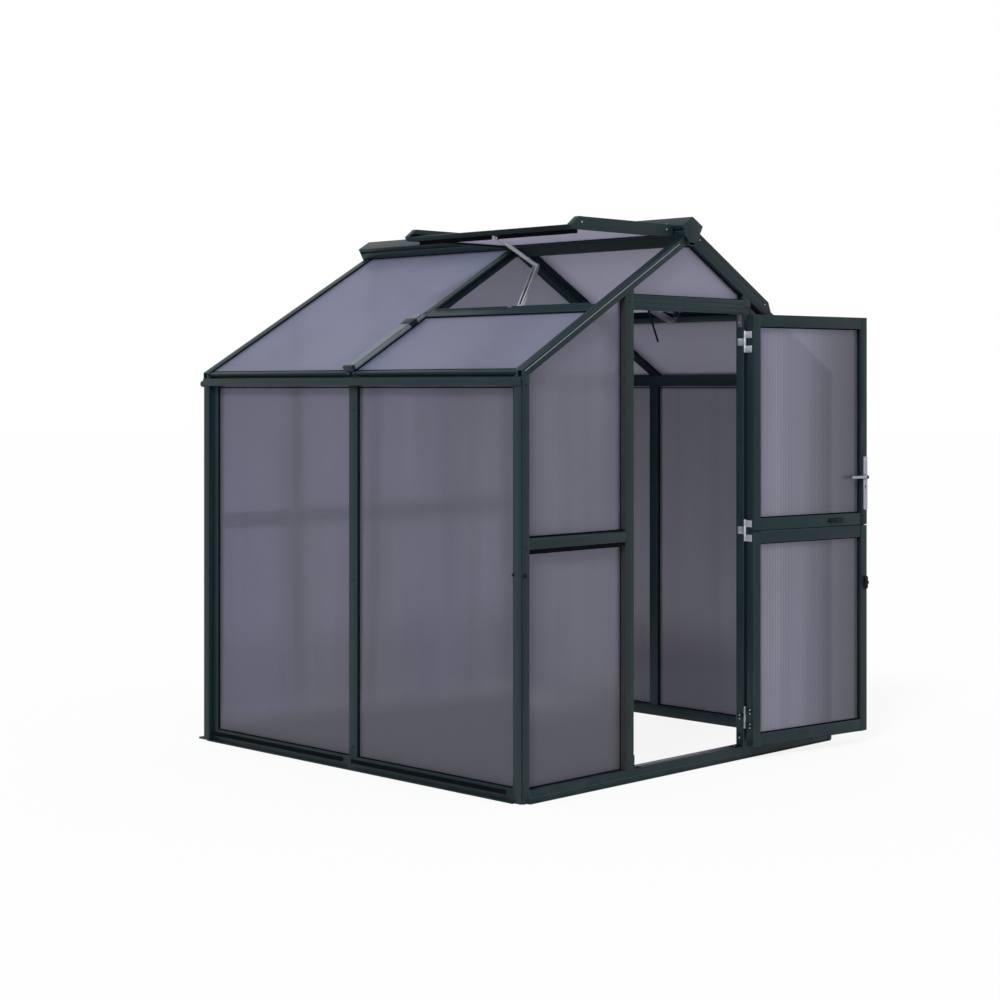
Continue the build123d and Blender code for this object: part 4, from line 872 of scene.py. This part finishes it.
def bar_screws():
    """Coated screws in the fixed bars."""
    places = []
    for side in (-1, 1):
        for z in (0.09, 0.77, 1.46):
            places.append(((side * MULLION[1].x, MIDDLE, z), (side, 0, 0)))
        for y, way in ((0.0, -1), (LENGTH, 1)):
            for z in (0.024, 0.95, 1.56):
                places.append(((side * (HALF - 0.022), y, z), (0, way, 0)))
            for u in (0.12, 1.08):
                places.append((on_slope(u, -0.018, y, side), (0, way, 0)))
        for z in (0.075, LINTEL[0] + 0.029):
            places.append(((side * (POST_X + 0.024), 0.0, z), (0, -1, 0)))
        for u in (0.10, 0.63):
            places.append((on_slope(u, 0.0, MIDDLE + 0.010, side), slope_way(side)))
    for z in (0.065, 0.95, 2.05):
        places.append(((0, LENGTH, z), (0, 1, 0)))
    return places


def post_screws():
    """Zinc screws in the hinges and the angles of the doorway."""
    places = []
    hinge_face = POST_X - 0.0025
    for z in HINGES:
        for dz in SCREW_PAIR:
            places.append(((hinge_face, 0.020, z + dz), (-1, 0, 0)))
    angle_face = POST_X - 0.0015
    for side in (-1, 1):
        for z in (SILL_TOP + 0.035, LINTEL[0] - 0.035):
            places.append(((side * angle_face, 0.022, z), (-side, 0, 0)))
        places.append(((side * (POST_X - 0.035), 0.022, SILL_TOP + 0.0015), UP))
    return places


def leaf_screws(body):
    """Zinc screws in the hinges and the lock of one door leaf."""
    edge = LEAF_X + 0.0025
    tab = 0.030
    outer, inner = (HINGES[2], HINGES[1] + tab) if body == "upper_door" else (HINGES[0], HINGES[1] - tab)
    places = []
    for z in (outer - tab, outer + tab, inner):
        for dz in SCREW_PAIR:
            places.append((swing((edge, 0.020, z + dz)), swing_way((1, 0, 0))))
    if body == "upper_door":
        for y, way in ((-LOCK_PLATE, -1), (LEAF_DEPTH + LOCK_PLATE, 1)):
            for z in (1.032, 1.237):
                places.append((swing((LEVER_X, y, z)), swing_way((0, way, 0))))
    return places


def vent_screws(side):
    """Zinc screws along the side rails of a vent and in its front face."""
    places = []
    way = lifted_way(slope_way(side), side)
    for y in (VENT_FRONT + VENT_RAIL / 2, VENT_REAR - VENT_RAIL / 2):
        for u in (0.085, 0.34, 0.60):
            places.append((lifted(on_slope(u, 0.0505, y, side), side), way))
    for u in (0.10, 0.605):
        places.append((lifted(on_slope(u, 0.028, VENT_FRONT, side), side), (0, -1, 0)))
    return places


class GREENHOUSE_OT_screws(bpy.types.Operator):
    """Set the screw heads into bars, hinges, lock and vents"""
    bl_idname = "greenhouse.screws"
    bl_label = "Screws"

    def execute(self, context):
        radius = context.scene.greenhouse.screw
        screws = copies(screw_model(radius), bar_screws(), "bar_screws")
        finish_piece(screws, "house", FINISHES["coat"], "green_frame")
        groups = {"house": post_screws(), "left_vent": vent_screws(-1), "right_vent": vent_screws(1)}
        for body in LEAVES:
            groups[body] = leaf_screws(body)
        for body, places in groups.items():
            screws = copies(screw_model(radius * 0.8), places, body + "_screws")
            finish_piece(screws, body, FINISHES["zinc"], "zinc_steel")
        return {"FINISHED"}


class GREENHOUSE_OT_bars(bpy.types.Operator):
    """Round the edges of the coated bars and caps, and give the edges a lighter coat as a painted highlight
    """
    bl_idname = "greenhouse.bars"
    bl_label = "Bars"

    def execute(self, context):
        edge = context.scene.greenhouse.edge
        for row in frame["record"]["subparts"]:
            if row["material_slot"] == "green_frame":
                softened(row["node"], edge, FINISHES["coat"], FINISHES["edge"])
        return {"FINISHED"}


class GREENHOUSE_OT_furniture(bpy.types.Operator):
    """Round the edges of the hinges, plates, latches and opener arms"""
    bl_idname = "greenhouse.furniture"
    bl_label = "Door and vent furniture"

    def execute(self, context):
        # the corner angles take the darker metal of painted shade
        special = {"doorway_corner_angles": "shaded_zinc", "hinge_post_plates": "hinge",
                   "upper_leaf_hinges": "hinge", "lower_leaf_hinges": "hinge"}
        widths = {"lock_plates": 0.0014, "leaf_coupler": 0.0016, "turn_latch": 0.0016}
        for row in frame["record"]["subparts"]:
            node, slot = row["node"], row["material_slot"]
            if slot in SLOT_FINISH and node not in ("lever_handles", "hinge_pins"):
                finish = special.get(node, SLOT_FINISH[slot])
                softened(node, widths.get(node, 0.0005), FINISHES[finish])
        return {"FINISHED"}


def rod_model(start, end):
    """A round rod between two points, with a stepped tip at its end."""
    axis = Vector(end) - Vector(start)
    bpy.ops.mesh.primitive_cylinder_add(vertices=18, radius=ROD_RADIUS, depth=axis.length)
    rod = bpy.context.object
    rod.data.transform(Matrix.Translation((Vector(start) + Vector(end)) / 2) @ stand(axis))
    tip = axis.normalized()
    edit_faces(rod, tip)
    bpy.ops.mesh.inset(thickness=ROD_RADIUS * 0.25)
    extrude(tip * ROD_RADIUS)
    return smooth(rounded(end_edit(rod), ROD_RADIUS * 0.15))


class GREENHOUSE_OT_rods(bpy.types.Operator):
    """Make the rods of the vent openers: one hangs from the folded arms, one lies in the raised arm"""
    bl_idname = "greenhouse.rods"
    bl_label = "Opener rods"

    def execute(self, context):
        black = (FINISHES["black"], "black_plastic")
        hanging = rod_model((0.3285, OPENER_Y, 1.891), (0.393, OPENER_Y, 1.753))
        finish_piece(named(hanging, "right_opener_rod"), "right_lower_arm", *black)
        root = Vector(JOINTS["left_lower_arm_fold"]["pos_m"])
        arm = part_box("opener_lower_arm_left")
        elbow = Vector((arm[1].x - 0.009, OPENER_Y, arm[1].z - 0.009))
        start = Vector((root.x, OPENER_Y, root.z))
        raised = rod_model(start.lerp(elbow, 0.18), start.lerp(elbow, 0.58))
        finish_piece(named(raised, "left_opener_rod"), "left_lower_arm", *black)
        return {"FINISHED"}


def bent_lever(way):
    """A lever of the closed door on one face: neck, bend and grip, way -1 outside and 1 inside."""
    neck, bend = 0.021, 0.013
    root = (LEAF_DEPTH if way > 0 else 0.0) + way * 0.0003
    bpy.ops.mesh.primitive_circle_add(vertices=20, radius=0.0075, fill_type="NOTHING")
    lever = bpy.context.object
    lever.data.transform(Matrix.Translation((LEVER_X, root, LEVER_Z)) @ stand((0, way, 0)))
    start_edit(lever, "VERT")
    bpy.ops.mesh.select_all(action="SELECT")
    extrude((0, way * neck, 0))
    corner = Vector((LEVER_X + bend, root + way * neck, LEVER_Z))
    bpy.ops.mesh.spin(steps=8, angle=way * pi / 2, center=corner, axis=(0, 0, -1))
    for length, scale in ((0.026, 0.92), (0.033, 1.0), (0.010, 0.94), (0.004, 0.75), (0.002, 0.6)):
        extrude((length, 0, 0))
        bpy.ops.transform.resize(value=(1, scale, scale))
    bpy.ops.mesh.edge_face_add()
    bpy.ops.mesh.select_all(action="SELECT")
    bpy.ops.mesh.remove_doubles(threshold=0.00005)
    bpy.ops.mesh.normals_make_consistent(inside=False)
    return end_edit(lever)


def lever_collar(way):
    """A stepped collar round the lever's neck on the lock plate."""
    height = 0.007
    face = LEAF_DEPTH + LOCK_PLATE if way > 0 else -LOCK_PLATE
    bpy.ops.mesh.primitive_cylinder_add(vertices=28, radius=0.0115, depth=height)
    collar = bpy.context.object
    middle = (LEVER_X, face + way * height / 2, LEVER_Z)
    collar.data.transform(Matrix.Translation(middle) @ stand((0, way, 0)))
    edit_faces(collar, (0, way, 0))
    bpy.ops.mesh.inset(thickness=0.002)
    extrude((0, way * 0.002, 0))
    return rounded(end_edit(collar), 0.0006)


class GREENHOUSE_OT_lever(bpy.types.Operator):
    """Make the door's bent lever handles with their collars"""
    bl_idname = "greenhouse.lever"
    bl_label = "Lever handles"

    def execute(self, context):
        parts = [bent_lever(way) for way in (-1, 1)] + [lever_collar(way) for way in (-1, 1)]
        lever = swing_mesh(joined(parts, "bent_levers"))
        smooth(lever, 40)
        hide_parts("lever_handles")
        finish_piece(lever, "lever", FINISHES["satin"], "satin_metal")
        return {"FINISHED"}


def knob_model():
    """A small moulded knob with a stepped end, standing on the origin."""
    height = 0.009
    bpy.ops.mesh.primitive_cylinder_add(vertices=20, radius=0.0065, depth=height,
                                        location=(0, 0, height / 2))
    knob = bpy.context.object
    bpy.ops.object.transform_apply(location=True)
    edit_faces(knob, UP)
    bpy.ops.mesh.inset(thickness=0.0015)
    extrude((0, 0, 0.003))
    return smooth(rounded(end_edit(knob), 0.0006))


class GREENHOUSE_OT_knobs(bpy.types.Operator):
    """Set the moulded knobs on the two faces of the front corner posts"""
    bl_idname = "greenhouse.knobs"
    bl_label = "Corner knobs"

    def execute(self, context):
        wall = MULLION[1].x - 0.004
        places = []
        for side in (-1, 1):
            places.append(((side * wall, CORNER_Y - 0.010, KNOB_Z), (side, 0, 0)))
            places.append(((side * (HALF - 0.014), 0.0, KNOB_Z), (0, -1, 0)))
        knobs = copies(knob_model(), places, "corner_knobs")
        finish_piece(knobs, "house", FINISHES["black"], "black_plastic")
        return {"FINISHED"}


def rafter_highlight_strips():
    """Thin raised pale lines along the outer faces of the left gable rafters: a painted highlight, on the lit
    side only.
    """
    beads = [seal_strip((0.085, 1.120), (y, y + way * 0.0012), (-0.0128, -0.0104), (0, way, 0))
             for y, way in ((0.0, -1), (LENGTH, 1))]
    return [laid(bead, -1) for bead in beads]


def cover_strip(side):
    """A stepped cover along the lower half of a middle rafter, with a sunk face."""
    low, high = COVER
    strip = block(((low + high) / 2, MIDDLE, 0.0050), (high - low, 0.056, 0.0098))
    edit_faces(strip, UP)
    bpy.ops.mesh.inset(thickness=0.007)
    extrude((0, 0, 0.0105))
    bpy.ops.mesh.inset(thickness=0.014, depth=-0.0015)
    return smooth(laid(rounded(end_edit(strip), 0.0008), side))


def cover_band(u, length, side):
    """A dark clip over a rafter cover."""
    band = block((u, MIDDLE, 0.0113), (length, 0.0585, 0.0222))
    edit_faces(band, UP)
    bpy.ops.mesh.inset(thickness=length / 6)
    bpy.ops.mesh.inset(thickness=0.001, depth=0.0012)
    return smooth(laid(rounded(end_edit(band), 0.0010), side))


class GREENHOUSE_OT_covers(bpy.types.Operator):
    """Lay the pale covers on the middle rafters, with their dark clips, and the pale strips of painted
    highlight along the left gable rafters
    """
    bl_idname = "greenhouse.covers"
    bl_label = "Rafter covers and beads"

    def execute(self, context):
        strips = joined([cover_strip(side) for side in (-1, 1)], "rafter_covers")
        finish_piece(strips, "house", FINISHES["cover"], "green_frame")
        clips = ((0.742, 0.042), (1.124, 0.016))
        bands = [cover_band(u, length, side) for u, length in clips for side in (-1, 1)]
        finish_piece(joined(bands, "cover_clips"), "house", FINISHES["coat"], "green_frame")
        finish_piece(joined(rafter_highlight_strips(), "rafter_highlight_strips"), "house", FINISHES["arris"], "green_frame")
        return {"FINISHED"}


def foot_plate(side):
    """A flat plate behind a rear corner post, with a sunk hole for a ground anchor."""
    plate = block((side * (HALF - 0.020), LENGTH + 0.0165, 0.004), (0.040, 0.033, 0.008))
    edit_faces(plate, UP)
    bpy.ops.mesh.inset(thickness=0.010)
    bpy.ops.mesh.inset(thickness=0.001, depth=-0.004)
    return rounded(end_edit(plate), 0.0008)


class GREENHOUSE_OT_feet(bpy.types.Operator):
    """Set the anchor plates behind the rear corners"""
    bl_idname = "greenhouse.feet"
    bl_label = "Foot plates"

    def execute(self, context):
        plates = joined([foot_plate(side) for side in (-1, 1)], "foot_plates")
        finish_piece(plates, "house", FINISHES["coat"], "green_frame")
        return {"FINISHED"}


# Studio

FLOOR_Z = -0.0006
FLOOR_WHITE = 0.86  # share of the floor that shows white whatever falls on it
SUN_WAY = (1.0, 0.45, -1.0)
CAMERA_PLACE = (-6.2357, -5.1148, 1.5429)
CAMERA_TURN = radians(-45.138)
CAMERA_LENS = 71.17  # millimetres
CAMERA_SHIFT = -0.11065


def floor_finish():
    """Floor that shows white, with a share of real light and shadow and a faint grain."""
    graph = new_graph("studio_floor")
    grain = graph.noise(30.0, 2.0)
    paint = graph.mix(grain, (0.985, 0.985, 0.985, 1), (1, 1, 1, 1))
    diffuse = graph.node("ShaderNodeBsdfDiffuse", {}, {"Color": paint})
    white = graph.node("ShaderNodeEmission", {}, {"Color": (1, 1, 1, 1), "Strength": 1.0})
    return graph.done(graph.blend(graph.seen() * FLOOR_WHITE, diffuse, white))


def studio_world(sky):
    """White where it is seen, soft fill light elsewhere."""
    graph = Graph(bpy.data.worlds.new("studio"))
    fill = graph.node("ShaderNodeBackground", {}, {"Color": (0.93, 0.95, 1.0, 1), "Strength": sky})
    white = graph.node("ShaderNodeBackground", {}, {"Color": (1, 1, 1, 1), "Strength": 1.0})
    return graph.done(graph.blend(graph.seen(), fill, white), "ShaderNodeOutputWorld")


class GREENHOUSE_OT_stage(bpy.types.Operator):
    """Set the pale floor, the soft light and the camera"""
    bl_idname = "greenhouse.stage"
    bl_label = "Stage"

    def execute(self, context):
        sizes = context.scene.greenhouse
        scene = context.scene
        clear_selection()
        bpy.ops.mesh.primitive_plane_add(size=120.0, location=(0, 0, FLOOR_Z))
        floor = named(context.object, "studio_floor")
        floor.data.materials.append(floor_finish())
        scene.world = studio_world(sizes.sky)
        bpy.ops.object.light_add(type="SUN", location=(-4, -3, 5))
        sun = named(context.object, "key_light")
        sun.rotation_euler = Vector(SUN_WAY).to_track_quat("-Z", "Y").to_euler()
        sun.data.energy = sizes.sun
        sun.data.angle = radians(14)
        bpy.ops.object.camera_add(location=CAMERA_PLACE, rotation=(pi / 2, 0, CAMERA_TURN))
        camera = named(context.object, "photo_camera")
        camera.data.sensor_width = 36.0
        camera.data.lens = CAMERA_LENS
        camera.data.shift_y = CAMERA_SHIFT
        camera.data.dof.use_dof = False
        scene.camera = camera
        scene.view_settings.view_transform = "Standard"
        return {"FINISHED"}


class GREENHOUSE_PT_panel(bpy.types.Panel):
    """The steps that dress the greenhouse"""
    bl_idname = "GREENHOUSE_PT_panel"
    bl_label = "Greenhouse"
    bl_space_type = "VIEW_3D"
    bl_region_type = "UI"
    bl_category = "Greenhouse"

    def draw(self, context):
        for operator in OPERATORS:
            self.layout.operator(operator.bl_idname)
        for name in GreenhouseSizes.__annotations__:
            self.layout.prop(context.scene.greenhouse, name)


OPERATORS = (
    GREENHOUSE_OT_finishes,
    GREENHOUSE_OT_bars,
    GREENHOUSE_OT_gaskets,
    GREENHOUSE_OT_seals,
    GREENHOUSE_OT_screws,
    GREENHOUSE_OT_furniture,
    GREENHOUSE_OT_rods,
    GREENHOUSE_OT_lever,
    GREENHOUSE_OT_knobs,
    GREENHOUSE_OT_covers,
    GREENHOUSE_OT_feet,
    GREENHOUSE_OT_stage,
)


def register():
    """Make the classes known and add the sizes to the scene."""
    for item in (GreenhouseSizes, *OPERATORS, GREENHOUSE_PT_panel):
        bpy.utils.register_class(item)
    bpy.types.Scene.greenhouse = PointerProperty(type=GreenhouseSizes)


def unregister():
    """Undo register."""
    del bpy.types.Scene.greenhouse
    for item in (GREENHOUSE_PT_panel, *reversed(OPERATORS), GreenhouseSizes):
        bpy.utils.unregister_class(item)


def main():
    """Dress the greenhouse, set the stage and note the sizes."""
    register()
    bpy.ops.greenhouse.finishes()
    bpy.ops.greenhouse.bars()
    bpy.ops.greenhouse.gaskets()
    bpy.ops.greenhouse.seals()
    bpy.ops.greenhouse.screws()
    bpy.ops.greenhouse.furniture()
    bpy.ops.greenhouse.rods()
    bpy.ops.greenhouse.lever()
    bpy.ops.greenhouse.knobs()
    bpy.ops.greenhouse.covers()
    bpy.ops.greenhouse.feet()
    bpy.ops.greenhouse.stage()


if __name__ == "__main__":
    main()
